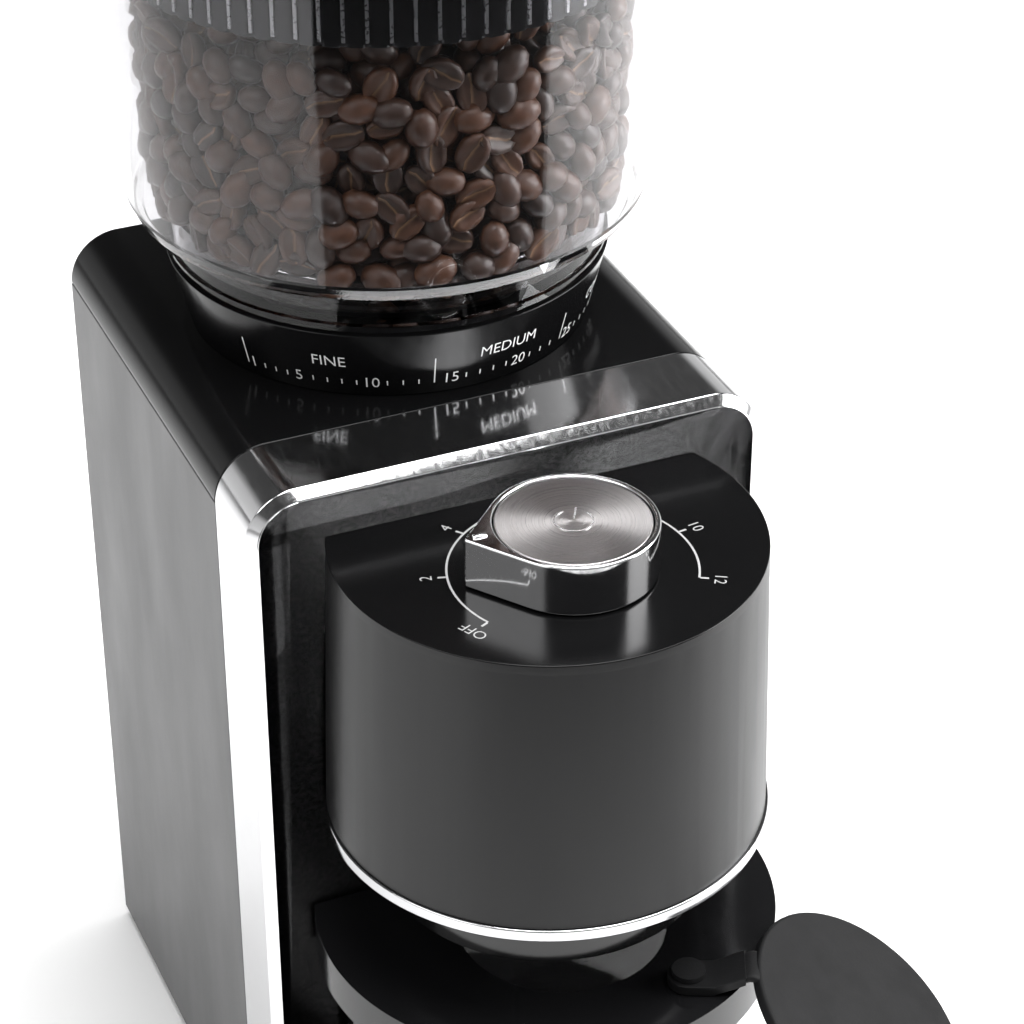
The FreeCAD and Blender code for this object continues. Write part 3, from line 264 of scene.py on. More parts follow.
drawn_steel = bare_metal("drawn_steel", (0.55, 0.55, 0.56), 0.3, (1, 1, 0.08))
ground_steel = bare_metal("ground_steel", (0.68, 0.68, 0.69), 0.18, (1, 1, 12))
dress(drawn_steel, "motor_can")
dress(moulding("black_nylon", (0.022, 0.022, 0.024), 0.45, 0.0006, 0.00003), "motor_end_bell", "timer_switch",
      "interlock_switch")
dress(moulding("ferrite", (0.07, 0.068, 0.07), 0.7, 0.0004, 0.00005, 0.25), "motor_magnets")
dress(laminated("rotor_sheets", (0.42, 0.41, 0.40), 0.001), "motor_rotor")
dress(bare_metal("commutator_copper", (0.83, 0.44, 0.28), 0.28, (8, 8, 1)), "commutator")
dress(moulding("brush_carbon", (0.03, 0.03, 0.032), 0.6, 0.0003, 0.00003, 0.3), "motor_brushes")
dress(ground_steel, "motor_shaft", "idler_axle", "drive_shaft")
dress(moulding("white_nylon", (0.72, 0.70, 0.63), 0.42, 0.0008, 0.00002, 0.05), "cooling_fan")

# ---- Gearbox ----------------------------------------------------------------------------------
# Two reduction steps in a glass-filled nylon case. The pinion is steel, the idler and the output
# wheel are nylon with a film of grease, and the shaft runs in sintered bronze bushes.

filled_nylon = moulding("filled_nylon", (0.055, 0.056, 0.06), 0.6, 0.0009, 0.00005, 0.2)
gear_nylon = moulding("gear_nylon", (0.66, 0.64, 0.56), 0.3, 0.0007, 0.00001, 0.08, 0.7)
dress(filled_nylon, "gearbox_housing", "gearbox_cover", "burr_housing")
dress(gear_nylon, "idler_gear", "output_gear")
dress(bare_metal("pinion_steel", (0.5, 0.49, 0.48), 0.3), "motor_pinion")
dress(bare_metal("bush_bronze", (0.62, 0.42, 0.22), 0.5, grain=0.0003, depth=0.00002, blotch=0.2),
      "shaft_bushes")

# ---- Burr set ---------------------------------------------------------------------------------
# The cone burr turns with the shaft inside the ring burr. The ring burr sits in its carrier, which
# the adjusting ring raises and lowers on a coarse thread. Burrs are hardened, ground steel.

burr_steel = bare_metal("burr_steel", (0.42, 0.41, 0.40), 0.3, (1, 1, 0.2), 0.0004, 0.000012, 0.15)
dress(burr_steel, "ring_burr", "cone_burr", "burr_nut")
dress(moulding("carrier_nylon", (0.03, 0.03, 0.032), 0.5, 0.0006, 0.00003), "burr_carrier", "adjusting_ring")
dress(moulding("sweeper_nylon", (0.10, 0.10, 0.105), 0.5, 0.0006, 0.00003), "sweeper")

# ---- Body panels ------------------------------------------------------------------------------
# Two flat side panels in satin grey lacquer close the sides. The gloss black top cover wraps over
# both upper edges. The rear panel is grained black ABS with nine vents, four screws and the gland.


def lacquer(name, colour, gloss, flake=0.0, metal=0.0, peel=0.0025, peel_depth=0.00001, specular=0.5):
    """A sprayed finish: a little orange peel, fine flake, and faint wipe marks in the gloss."""
    finish, tree, shader = new_finish(name)
    shader.inputs["Specular IOR Level"].default_value = specular
    shader.inputs["Metallic"].default_value = metal
    flakes = speckle(tree, 0.00035, 2.0)
    wire(tree, two_tone(tree, flakes, scaled(colour, 1 - flake), scaled(colour, 1 + flake)),
         shader.inputs["Base Color"])
    wipes = speckle(tree, 0.02, 6.0, (1.0, 1.0, 0.35))
    wire(tree, between(tree, wipes, gloss * 0.9, gloss * 1.12), shader.inputs["Roughness"])
    rough_skin(tree, shader, speckle(tree, peel, 2.0), peel_depth)
    return finish


piano_black = (0.003, 0.003, 0.0032)
gloss_peel, gloss_peel_depth = 0.006, 0.000006
side_lacquer = lacquer("side_lacquer", (0.070, 0.070, 0.0715), 0.42, 0.06, 0.2)
gloss_black = lacquer("gloss_black", piano_black, 0.085, 0.0, 0.0, gloss_peel, gloss_peel_depth)
cover_black = lacquer("cover_black", piano_black, 0.16, 0.0, 0.0, gloss_peel, gloss_peel_depth, 0.2)
eased("side_panel_left", 0.0004, side_lacquer)
eased("side_panel_right", 0.0004, side_lacquer)
eased("top_cover", 0.0005, cover_black, 3)
eased("front_plate", 0.0004, gloss_black)
eased("back_panel", 0.0004, black_abs)
dress(black_abs, "cord_gland")

# ---- Metal band -------------------------------------------------------------------------------
# One strip of polished, chrome-plated metal is bent round the front of the body and frames the
# recessed front plate. Its outer front edge has a wide flat bevel, which catches the light.

chrome = bare_metal("chrome", (0.72, 0.72, 0.73), 0.12, (1, 0.2, 1), 0.0012, 0.0000006, 0.02)
eased("chrome_band", 0.0003, chrome, front_bevel=0.0023)

# ---- Control board ----------------------------------------------------------------------------
# A small green board stands on four pillars behind the timer. It carries the motor relay and the
# suppression capacitor.

dress(moulding("solder_mask", (0.02, 0.14, 0.05), 0.3, 0.0012, 0.00003, 0.35), "control_board")
dress(moulding("relay_case", (0.03, 0.08, 0.26), 0.4), "board_relay")
dress(moulding("capacitor_sleeve", (0.035, 0.035, 0.05), 0.35), "board_capacitor")
dress(moulding("pillar_nylon", (0.62, 0.60, 0.54), 0.45), "board_pillars")

# ---- Drum -------------------------------------------------------------------------------------
# The drum that carries the dial has a satin lacquered shell, a gloss black cap with a satin side,
# and a thin chrome ring round its lower edge. The ring is drawn a little lower and thinner than
# the solid, and the shell reaches down to it. The skirt guides the grounds down.

drum_lacquer = lacquer("drum_lacquer", (0.0055, 0.0055, 0.0058), 0.36, 0.05, 0.0, specular=0.31)
drum_low, drum_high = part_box("drum_shell")[0][2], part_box("drum_shell")[1][2]
ring_drop, ring_trim = 0.0017, 0.0009
rim_margin = 0.001
shell = eased("drum_shell", 0.0003, drum_lacquer, reach=(0.0, drum_high - rim_margin))
for v in shell.data.vertices:
    if v.co.z < drum_low + rim_margin:
        v.co.z -= ring_drop + ring_trim
cap_black = lacquer("cap_black", piano_black, 0.19, 0.0, 0.0, gloss_peel, gloss_peel_depth, 0.2)
cap = eased("drum_top_cap", 0.0003, cap_black, reach=(drum_high + rim_margin, 1.0))
cap.data.materials.append(drum_lacquer)
upright = 0.3
for f in cap.data.polygons:
    if abs(f.normal.z) < upright:
        f.material_index = 1
polish_grain, polish_depth = 0.0012, 0.0000006
ring_chrome = bare_metal("ring_chrome", (0.56, 0.56, 0.57), 0.14, grain=polish_grain, depth=polish_depth,
                         blotch=0.03)
ring = eased("drum_chrome_ring", 0.0005, ring_chrome)
ring_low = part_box("drum_chrome_ring")[0][2]
for v in ring.data.vertices:
    v.co.z -= ring_drop + ring_trim * (v.co.z - ring_low) / (drum_low - ring_low)
eased("discharge_skirt", 0.0005, gloss_black)
eased("scale_collar", 0.0003, cover_black)
dress(moulding("chute_pp", (0.03, 0.03, 0.03), 0.4), "grounds_chute")

# ---- Dial print -------------------------------------------------------------------------------
# The dial is pad-printed in light grey ink on the cap: an arc with a short stroke at each setting,
# and the numbers turned so that their tops point outwards.

cap_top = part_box("drum_top_cap")[1][2]
button_low, button_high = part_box("start_button")
knob_axis = Vector(((button_low[0] + button_high[0]) / 2, (button_low[1] + button_high[1]) / 2, 0.0))
ink_height = 0.00003
capital_share, letter_thinning = 0.72, 0.00003


def ink_finish(name, colour):
    finish, tree, shader = new_finish(name)
    wear = speckle(tree, 0.0008, 4.0)
    wire(tree, two_tone(tree, wear, scaled(colour, 0.86), colour), shader.inputs["Base Color"])
    wire(tree, between(tree, wear, 0.45, 0.65), shader.inputs["Roughness"])
    return finish


def add_mesh(name, mesh, finish, body):
    piece = placed(name, mesh)
    mesh.materials.clear()
    mesh.materials.append(finish)
    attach(piece, body)
    return piece


def lettering(words, height):
    """Words as a flat, closed mesh, centred on their own middle, with letters of that height."""
    text = bpy.data.curves.new("lettering", "FONT")
    text.body = words
    text.align_x = "CENTER"
    text.align_y = "CENTER"
    text.size = height / capital_share
    text.extrude = ink_height / 2
    text.offset = -letter_thinning
    text.resolution_u = 3
    carrier = placed("lettering", text)
    mesh = evaluated(carrier)
    bpy.data.objects.remove(carrier)
    return mesh


def bar_between(shape, corners, low, high):
    """A thin flat bar over those corners, from the low height to the high one."""
    foot = [shape.verts.new((x, y, low)) for x, y in corners]
    head = [shape.verts.new((x, y, high)) for x, y in corners]
    shape.faces.new(head)
    shape.faces.new(foot[::-1])
    for i in range(len(corners)):
        j = (i + 1) % len(corners)
        shape.faces.new((foot[i], foot[j], head[j], head[i]))


def around(centre, radius, degrees):
    turn = math.radians(degrees)
    return centre.x + radius * math.cos(turn), centre.y + radius * math.sin(turn)


def arc_band(centre, inner, outer, first, last, steps):
    """The corners of a flat band along an arc, inside first and then back along the outside."""
    angles = [first + (last - first) * i / steps for i in range(steps + 1)]
    return [around(centre, inner, a) for a in angles] + [around(centre, outer, a) for a in angles[::-1]]


def ray_corners(centre, near, far, degrees, width):
    """The corners of a straight bar that points away from the centre."""
    side = math.radians(degrees + 90)
    offset = Vector((math.cos(side), math.sin(side), 0)) * width / 2
    start = Vector((*around(centre, near, degrees), 0))
    stop = Vector((*around(centre, far, degrees), 0))
    return [(v.x, v.y) for v in (start - offset, stop - offset, stop + offset, start + offset)]


dial_settings = (("OFF", 205), ("2", 164), ("4", 127), ("6", 86), ("8", 47), ("10", 8), ("12", -31))
dial_arc = (0.0281, 0.0286)
dial_arc_steps, sign_arc_steps = 120, 40
dial_stroke_end, dial_stroke_half = 0.0305, 0.00028
dial_number_radius, dial_letter_height = 0.0330, 0.0029

dial = bmesh.new()
bar_between(dial, arc_band(knob_axis, *dial_arc, dial_settings[0][1], dial_settings[-1][1], dial_arc_steps),
            cap_top, cap_top + ink_height)
for words, angle in dial_settings:
    width = math.degrees(dial_stroke_half / dial_arc[1])
    stroke = [around(knob_axis, radius, angle + turn)
              for radius, turn in ((dial_arc[1], -width), (dial_stroke_end, -width),
                                   (dial_stroke_end, width), (dial_arc[1], width))]
    bar_between(dial, stroke, cap_top, cap_top + ink_height)
    sign = lettering(words, dial_letter_height)
    x, y = around(knob_axis, dial_number_radius, angle)
    sign.transform(Matrix.Translation((x, y, cap_top + ink_height / 2))
                   @ Matrix.Rotation(math.radians(angle - 90), 4, "Z"))
    dial.from_mesh(sign)
bmesh.ops.recalc_face_normals(dial, faces=dial.faces)
dial_ink = ink_finish("dial_ink", (0.36, 0.36, 0.36))
add_mesh("dial_print", plain_mesh(dial, "dial_print"), dial_ink, "housing")

# ---- Timer knob -------------------------------------------------------------------------------
# The knob is chrome-plated with a flat pointer. The start button in its middle is spun metal,
# held by a soft return dome, with a raised power sign and a short raised bar on the pointer.


def spun(name, colour, gloss, centre):
    """Spun metal: the grain runs in circles about the button's own middle."""
    finish, tree, shader = new_finish(name)
    shader.inputs["Metallic"].default_value = 1.0
    shader.inputs["Anisotropic"].default_value = 0.85
    where = tree.nodes.new("ShaderNodeTexCoord")
    arm = tree.nodes.new("ShaderNodeVectorMath")
    arm.operation = "SUBTRACT"
    arm.inputs[1].default_value = centre
    wire(tree, where.outputs["Object"], arm.inputs[0])
    along = tree.nodes.new("ShaderNodeVectorMath")
    along.operation = "CROSS_PRODUCT"
    along.inputs[1].default_value = (0, 0, 1)
    wire(tree, arm.outputs[0], along.inputs[0])
    wire(tree, along.outputs[0], shader.inputs["Tangent"])
    reach = tree.nodes.new("ShaderNodeVectorMath")
    reach.operation = "LENGTH"
    wire(tree, arm.outputs[0], reach.inputs[0])
    rings = tree.nodes.new("ShaderNodeTexNoise")
    rings.noise_dimensions = "1D"
    rings.inputs["Scale"].default_value = 5200
    rings.inputs["Detail"].default_value = 1
    wire(tree, reach.outputs["Value"], rings.inputs["W"])
    wire(tree, two_tone(tree, rings.outputs["Fac"], scaled(colour, 0.985), colour),
         shader.inputs["Base Color"])
    wire(tree, between(tree, rings.outputs["Fac"], gloss * 0.9, gloss * 1.1), shader.inputs["Roughness"])
    rough_skin(tree, shader, rings.outputs["Fac"], 0.0000001)
    return finish


button_top = button_high[2]
knob_chrome = bare_metal("knob_chrome", (0.86, 0.86, 0.87), 0.09, grain=polish_grain, depth=polish_depth,
                         blotch=0.03)
eased("timer_knob", 0.0005, knob_chrome, 3)
spun_button = spun("spun_button", (0.52, 0.50, 0.50), 0.3, (knob_axis.x, knob_axis.y, button_top))
eased("start_button", 0.0003, spun_button)
dress(moulding("shaft_pom", (0.6, 0.58, 0.52), 0.4), "knob_shaft")
dress(moulding("dome_silicone", (0.05, 0.05, 0.052), 0.6), "button_spring")

sign_radius, sign_width, sign_height = 0.0046, 0.00045, 0.00015
sign_bar = (0.0006, 0.0052)
sign_turn, sign_gap_half = 60.0, 38.0
sign = bmesh.new()
bar_between(sign, arc_band(knob_axis, sign_radius, sign_radius - sign_width, sign_turn + sign_gap_half,
                           sign_turn + 360 - sign_gap_half, sign_arc_steps),
            button_top, button_top + sign_height)
bar_between(sign, ray_corners(knob_axis, *sign_bar, sign_turn, sign_width), button_top,
            button_top + sign_height)
bmesh.ops.recalc_face_normals(sign, faces=sign.faces)
bright_line = bare_metal("bright_line", (0.85, 0.85, 0.86), 0.2, grain=0.0004)
add_mesh("power_sign", plain_mesh(sign, "power_sign"), bright_line, "button")

nose_angle, nose_bar, nose_bar_width = 175.0, (0.0203, 0.0235), 0.0012
nose_sink, nose_rise, nose_round = 0.0002, 0.0006, 0.0004
nose_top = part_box("timer_knob")[1][2]
nose = bmesh.new()
bar_between(nose, ray_corners(knob_axis, *nose_bar, nose_angle, nose_bar_width), nose_top - nose_sink,
            nose_top + nose_rise)
bmesh.ops.bevel(nose, geom=[e for e in nose.edges if all(v.co.z > nose_top for v in e.verts)],
                offset=nose_round, segments=3, profile=0.5, affect="EDGES", clamp_overlap=True)
for f in nose.faces:
    f.smooth = True
bmesh.ops.recalc_face_normals(nose, faces=nose.faces)
add_mesh("pointer_bar", plain_mesh(nose, "pointer_bar"), bright_line, "knob")

# ---- Grind scale ------------------------------------------------------------------------------
# The collar under the hopper is gloss black with a white printed scale: a small stroke for each
# step, a number at every fifth, long strokes between the sections, and a word over each section.

collar_low, collar_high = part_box("scale_collar")
collar_axis = Vector((0.0, (collar_low[1] + collar_high[1]) / 2, 0.0))
collar_foot_radius, collar_head_radius = 0.0496, (collar_high[1] - collar_low[1]) / 2
collar_slope = (collar_head_radius - collar_foot_radius) / (collar_high[2] - collar_low[2])
print_gap = 0.00001


def collar_radius(z):
    return collar_foot_radius + (z - collar_low[2]) * collar_slope


def wrap_on_collar(mesh, angle, height):
    """Lays a flat mesh round the collar, its middle at that angle and height."""
    for v in mesh.vertices:
        z = height + v.co.y
        radius = collar_radius(z) + v.co.z + ink_height / 2 + print_gap
        turn = math.radians(angle) + v.co.x / collar_radius(z)
        v.co = (collar_axis.x + radius * math.cos(turn), collar_axis.y + radius * math.sin(turn), z)
    return mesh


def stroke_row(name):
    """A row of upright strokes round a cone. The sizes come in by name."""
    tree = bpy.data.node_groups.new(name, "GeometryNodeTree")
    face = tree.interface
    ports = {}
    sizes = ("Start", "Step", "Radius", "Height", "Width", "Length", "Thickness", "Lean")
    kinds = [("Count", "Int"), *((size, "Float") for size in sizes), ("Ink", "Material")]
    for port, kind in kinds:
        socket = face.new_socket(port, in_out="INPUT", socket_type="NodeSocket" + kind)
        ports[port] = socket.identifier
    face.new_socket("Geometry", in_out="OUTPUT", socket_type="NodeSocketGeometry")
    add = tree.nodes.new

    def maths(operation):
        step = add("ShaderNodeMath")
        step.operation = operation
        return step

    start, end = add("NodeGroupInput"), add("NodeGroupOutput")
    row = add("GeometryNodeMeshLine")
    index = add("GeometryNodeInputIndex")
    angle = maths("MULTIPLY_ADD")
    wire(tree, start.outputs["Count"], row.inputs["Count"])
    wire(tree, index.outputs[0], angle.inputs[0])
    wire(tree, start.outputs["Step"], angle.inputs[1])
    wire(tree, start.outputs["Start"], angle.inputs[2])
    cosine, sine = maths("COSINE"), maths("SINE")
    x, y = maths("MULTIPLY"), maths("MULTIPLY_ADD")
    y.inputs[2].default_value = collar_axis.y
    for part, out in ((cosine, x), (sine, y)):
        wire(tree, angle.outputs[0], part.inputs[0])
        wire(tree, part.outputs[0], out.inputs[0])
        wire(tree, start.outputs["Radius"], out.inputs[1])
    place = add("ShaderNodeCombineXYZ")
    wire(tree, x.outputs[0], place.inputs[0])
    wire(tree, y.outputs[0], place.inputs[1])
    wire(tree, start.outputs["Height"], place.inputs[2])
    put = add("GeometryNodeSetPosition")
    wire(tree, row.outputs[0], put.inputs["Geometry"])
    wire(tree, place.outputs[0], put.inputs["Position"])
    size = add("ShaderNodeCombineXYZ")
    wire(tree, start.outputs["Thickness"], size.inputs[0])
    wire(tree, start.outputs["Width"], size.inputs[1])
    wire(tree, start.outputs["Length"], size.inputs[2])
    stroke = add("GeometryNodeMeshCube")
    wire(tree, size.outputs[0], stroke.inputs["Size"])
    turn = add("ShaderNodeCombineXYZ")
    wire(tree, start.outputs["Lean"], turn.inputs[1])
    wire(tree, angle.outputs[0], turn.inputs[2])
    copies = add("GeometryNodeInstanceOnPoints")
    wire(tree, put.outputs[0], copies.inputs["Points"])
    wire(tree, stroke.outputs[0], copies.inputs["Instance"])
    wire(tree, turn.outputs[0], copies.inputs["Rotation"])
    real = add("GeometryNodeRealizeInstances")
    paint = add("GeometryNodeSetMaterial")
    wire(tree, copies.outputs[0], real.inputs[0])
    wire(tree, real.outputs[0], paint.inputs["Geometry"])
    wire(tree, start.outputs["Ink"], paint.inputs["Material"])
    wire(tree, paint.outputs[0], end.inputs[0])
    return tree, ports


def grown(name, tree, ports, values, base=None):
    """The plain mesh that a Geometry Nodes tree makes with these values."""
    seed = placed(name, base or bpy.data.meshes.new(name))
    modifier = seed.modifiers.new(name, "NODES")
    modifier.node_group = tree
    for port, value in values.items():
        modifier[ports[port]] = value
    mesh = evaluated(seed)
    seed.modifiers.remove(modifier)
    bpy.data.objects.remove(seed)
    return mesh


scale_ink = ink_finish("scale_ink", (0.82, 0.82, 0.82))
row_tree, row_ports = stroke_row("stroke_row")
number_height, word_height, stroke_height, line_height = 0.2298, 0.2358, 0.2298, 0.2328
scale_letter_height, stroke_length, line_length, stroke_width = 0.0031, 0.0014, 0.0078, 0.0003
lean = math.atan(collar_slope)


def strokes(count, first_angle, step, height, length):
    return grown("strokes", row_tree, row_ports, {
        "Count": count, "Start": math.radians(first_angle), "Step": math.radians(step),
        "Radius": collar_radius(height), "Height": height, "Width": stroke_width, "Length": length,
        "Thickness": 2 * ink_height, "Lean": lean, "Ink": scale_ink})


section_lines = (207.5, 260.9, 303.0)
stroke_runs = ((3, 213.4, 3.55), (4, 228.1, 4.0), (3, 248.3, 4.2), (4, 269.8, 4.05), (3, 290.1, 4.1),
               (4, 311.0, 4.0))
scale_numbers = (("1", 209.6), ("5", 224.0), ("10", 244.0), ("15", 265.5), ("20", 286.0), ("25", 306.5),
                 ("30", 326.5))
scale_words = (("FINE", 233.0), ("MEDIUM", 282.0), ("COARSE", 324.0))
scale = bmesh.new()
for line in section_lines:
    scale.from_mesh(strokes(1, line, 1.0, line_height, line_length))
for count, first_stroke, step in stroke_runs:
    scale.from_mesh(strokes(count, first_stroke, step, stroke_height, stroke_length))
for value, angle in scale_numbers:
    scale.from_mesh(wrap_on_collar(lettering(value, scale_letter_height), angle, number_height))
for word, angle in scale_words:
    scale.from_mesh(wrap_on_collar(lettering(word, scale_letter_height), angle, word_height))
add_mesh("grind_scale", plain_mesh(scale, "grind_scale"), scale_ink, "housing")

# ---- Hopper -----------------------------------------------------------------------------------
# The hopper is blown clear plastic with a thick lower edge and a neck that plugs into the collar.
# A small white arrow is printed low on the bowl, to read the grind scale with.


def clear(name, tint, gloss, passes=0.86):
    """Clear plastic that lets the lamps reach what is behind it."""
    finish, tree, shader = new_finish(name)
    shader.inputs["Transmission Weight"].default_value = 1.0
    shader.inputs["IOR"].default_value = 1.34
    flow, handling = speckle(tree, 0.04, 3.0), speckle(tree, 0.01, 6.0)
    wire(tree, two_tone(tree, flow, scaled(tint, 0.985), tint), shader.inputs["Base Color"])
    wire(tree, between(tree, handling, gloss, gloss * 2.2, 0.5, 0.8), shader.inputs["Roughness"])
    rough_skin(tree, shader, speckle(tree, 0.02, 2.0), 0.00003)
    way = tree.nodes.new("ShaderNodeLightPath")
    through = tree.nodes.new("ShaderNodeBsdfTransparent")
    through.inputs["Color"].default_value = (passes, passes, passes, 1)
    mix = tree.nodes.new("ShaderNodeMixShader")
    wire(tree, way.outputs["Is Shadow Ray"], mix.inputs["Fac"])
    wire(tree, shader.outputs[0], mix.inputs[1])
    wire(tree, through.outputs[0], mix.inputs[2])
    wire(tree, mix.outputs[0], tree.nodes["Material Output"].inputs["Surface"])
    return finish


dress(clear("hopper_clear", (0.76, 0.755, 0.77), 0.02), "hopper")

hopper_axis = Vector((0.0, collar_axis.y, 0.0))
bowl_floor, bowl_foot_radius, bowl_rim_radius, bowl_wall = 0.2569, 0.0634, 0.0658, 0.0019
rim_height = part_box("hopper")[1][2]


def bowl_radius(z):
    rise = (z - bowl_floor) / (rim_height - bowl_floor)
    return bowl_foot_radius + (bowl_rim_radius - bowl_foot_radius) * rise


arrow_angle, arrow_low, arrow_high, arrow_half = math.radians(283.5), 0.2590, 0.2616, 0.0013
arrow_thickness = 2 * ink_height
arrow = bmesh.new()
corners = []
for across, z in ((0.0, arrow_low), (arrow_half, arrow_high), (-arrow_half, arrow_high)):
    turn = arrow_angle + across / bowl_radius(z)
    corners.append([(hopper_axis.x + r * math.cos(turn), hopper_axis.y + r * math.sin(turn), z)
                    for r in (bowl_radius(z) + print_gap, bowl_radius(z) + print_gap + arrow_thickness)])
back = [arrow.verts.new(c[0]) for c in corners]
front = [arrow.verts.new(c[1]) for c in corners]
arrow.faces.new(front)
arrow.faces.new(back[::-1])
for i in range(3):
    j = (i + 1) % 3
    arrow.faces.new((back[i], back[j], front[j], front[i]))
bmesh.ops.recalc_face_normals(arrow, faces=arrow.faces)
add_mesh("hopper_arrow", plain_mesh(arrow, "hopper_arrow"), scale_ink, "hopper")

# ---- Beans ------------------------------------------------------------------------------------
# Roasted beans fill the hopper up to the lid's ring. Each is a half-egg with a pale crease in its
# flat face. Those at the wall lie flat against it, and deeper ones lie at random.

bean_length, bean_width, bean_thickness = 0.0102, 0.0076, 0.0056
fill_top = 0.3150


def one_bean():
    """A bean lying along X, its flat face down, with how deep its crease is stored per corner."""
    shape = bmesh.new()
    rings, spokes = 6, 12
    depth = shape.verts.layers.float.new("crease")
    rows = []
    for i in range(1, rings):
        t = math.pi * i / rings
        row = []
        for j in range(spokes):
            a = 2 * math.pi * j / spokes
            x = -math.cos(t) * bean_length / 2
            y = math.sin(t) * math.cos(a) * bean_width / 2
            z = math.sin(t) * math.sin(a) * bean_thickness * 0.62
            low = z < 0
            z = max(z, -bean_thickness * 0.24) if low else z
            groove = 1.0 if low and j == spokes * 3 // 4 else 0.0
            sway = groove * bean_width * 0.07 * math.sin(2 * math.pi * x / bean_length)
            v = shape.verts.new((x, y + sway, z + groove * bean_thickness * 0.3 * math.sin(t)))
            v[depth] = groove
            row.append(v)
        rows.append(row)
    tip, tail = shape.verts.new((-bean_length / 2, 0, 0)), shape.verts.new((bean_length / 2, 0, 0))
    for a, b in zip(rows, rows[1:]):
        for j in range(spokes):
            k = (j + 1) % spokes
            shape.faces.new((a[j], b[j], b[k], a[k]))
    for j in range(spokes):
        k = (j + 1) % spokes
        shape.faces.new((tip, rows[0][j], rows[0][k]))
        shape.faces.new((tail, rows[-1][k], rows[-1][j]))
    bmesh.ops.recalc_face_normals(shape, faces=shape.faces)
    for f in shape.faces:
        f.smooth = True
    return plain_mesh(shape, "one_bean")


layer_insets, layer_rise, row_pitch, bean_pitch = (0.0055, 0.0108, 0.0162), 0.0016, 0.0060, 0.0079
first_row, uneven_top = 0.0047, 0.003
loose_turn, loose_across, loose_up = 0.28, 0.0022, 0.0016
face_out_share, wild_at_wall, wild_inside = 0.62, 0.30, 0.8
floor_rings = ((0.0475, 0.2595), (0.0475, 0.2545), (0.0405, 0.2510), (0.0335, 0.2475), (0.0400, 0.2580))
floor_pitch, floor_loose_turn, floor_tips = 0.0080, 0.3, (0.5, 2.6)


def bean_places():
    """Where the beans lie and how each is turned: three layers inside the wall, then the floor."""
    chance = random.Random(11)
    spots = []

    def lay(turn, radius, height, facing):
        out = Vector((math.cos(turn), math.sin(turn), 0))
        spots.append((Vector((hopper_axis.x, hopper_axis.y, height)) + out * radius, facing.to_euler(),
                      chance.random()))

    for layer, inset in enumerate(layer_insets):
        wild = wild_at_wall if layer == 0 else wild_inside
        z, row = bowl_floor + first_row + layer_rise * layer, 0
        while z < fill_top + uneven_top * math.sin(layer * 2.0):
            radius = bowl_radius(z) - bowl_wall - inset
            count = int(2 * math.pi * radius / bean_pitch)
            for i in range(count):
                place = i + 0.5 * (row % 2) + chance.uniform(-loose_turn, loose_turn)
                turn = 2 * math.pi * place / count
                r = radius - chance.uniform(0, loose_across)
                up = z + chance.uniform(-loose_up, loose_up)
                side = 1 if chance.random() < face_out_share else -1
                normal = Matrix.Rotation(turn, 3, "Z") @ Matrix.Rotation(math.pi / 2 * side, 3, "Y")
                twist = (Matrix.Rotation(chance.uniform(-wild, wild), 3, "X")
                         @ Matrix.Rotation(chance.uniform(-wild, wild), 3, "Y")
                         @ Matrix.Rotation(chance.uniform(0, 2 * math.pi), 3, "Z"))
                lay(turn, r, up, normal @ twist)
            z, row = z + row_pitch, row + 1
    for radius, z in floor_rings:
        count = int(2 * math.pi * radius / floor_pitch)
        for i in range(count):
            turn = 2 * math.pi * (i + chance.uniform(-floor_loose_turn, floor_loose_turn)) / count
            tip = Matrix.Rotation(turn, 3, "Z") @ Matrix.Rotation(chance.choice(floor_tips), 3, "Y")
            lay(turn, radius, z, tip @ Matrix.Rotation(chance.uniform(0, 6.28), 3, "Z"))
    return spots


spots = bean_places()
bean_points = bpy.data.meshes.new("bean_points")
bean_points.from_pydata([tuple(place) for place, turned, roast in spots], [], [])
bean_points.attributes.new("turned", "FLOAT_VECTOR", "POINT")
bean_points.attributes.new("roast", "FLOAT", "POINT")
for i, (place, turned, roast) in enumerate(spots):
    bean_points.attributes["turned"].data[i].vector = tuple(turned)
    bean_points.attributes["roast"].data[i].value = roast

bean_tree = bpy.data.node_groups.new("poured_beans", "GeometryNodeTree")
bean_ports = {}
for port, kind in (("Points", "Geometry"), ("Bean", "Object"), ("Smallest", "Float"), ("Largest", "Float"),
                   ("Seed", "Int"), ("Roast", "Material")):
    socket = bean_tree.interface.new_socket(port, in_out="INPUT", socket_type="NodeSocket" + kind)
    bean_ports[port] = socket.identifier
bean_tree.interface.new_socket("Geometry", in_out="OUTPUT", socket_type="NodeSocketGeometry")
add = bean_tree.nodes.new
start, end = add("NodeGroupInput"), add("NodeGroupOutput")
pick = add("GeometryNodeObjectInfo")
how = add("GeometryNodeInputNamedAttribute")
how.data_type = "FLOAT_VECTOR"
how.inputs["Name"].default_value = "turned"
sizes = add("FunctionNodeRandomValue")
sizes.data_type = "FLOAT"
copies, real, paint = (add("GeometryNodeInstanceOnPoints"), add("GeometryNodeRealizeInstances"),
                       add("GeometryNodeSetMaterial"))
size_min = [s for s in sizes.inputs if s.name == "Min" and s.enabled][0]
size_max = [s for s in sizes.inputs if s.name == "Max" and s.enabled][0]
size_out = [s for s in sizes.outputs if s.enabled][0]
wire(bean_tree, start.outputs["Smallest"], size_min)
wire(bean_tree, start.outputs["Largest"], size_max)
wire(bean_tree, start.outputs["Seed"], sizes.inputs["Seed"])
wire(bean_tree, start.outputs["Bean"], pick.inputs["Object"])
wire(bean_tree, start.outputs["Points"], copies.inputs["Points"])
wire(bean_tree, pick.outputs["Geometry"], copies.inputs["Instance"])
wire(bean_tree, how.outputs["Attribute"], copies.inputs["Rotation"])
wire(bean_tree, size_out, copies.inputs["Scale"])
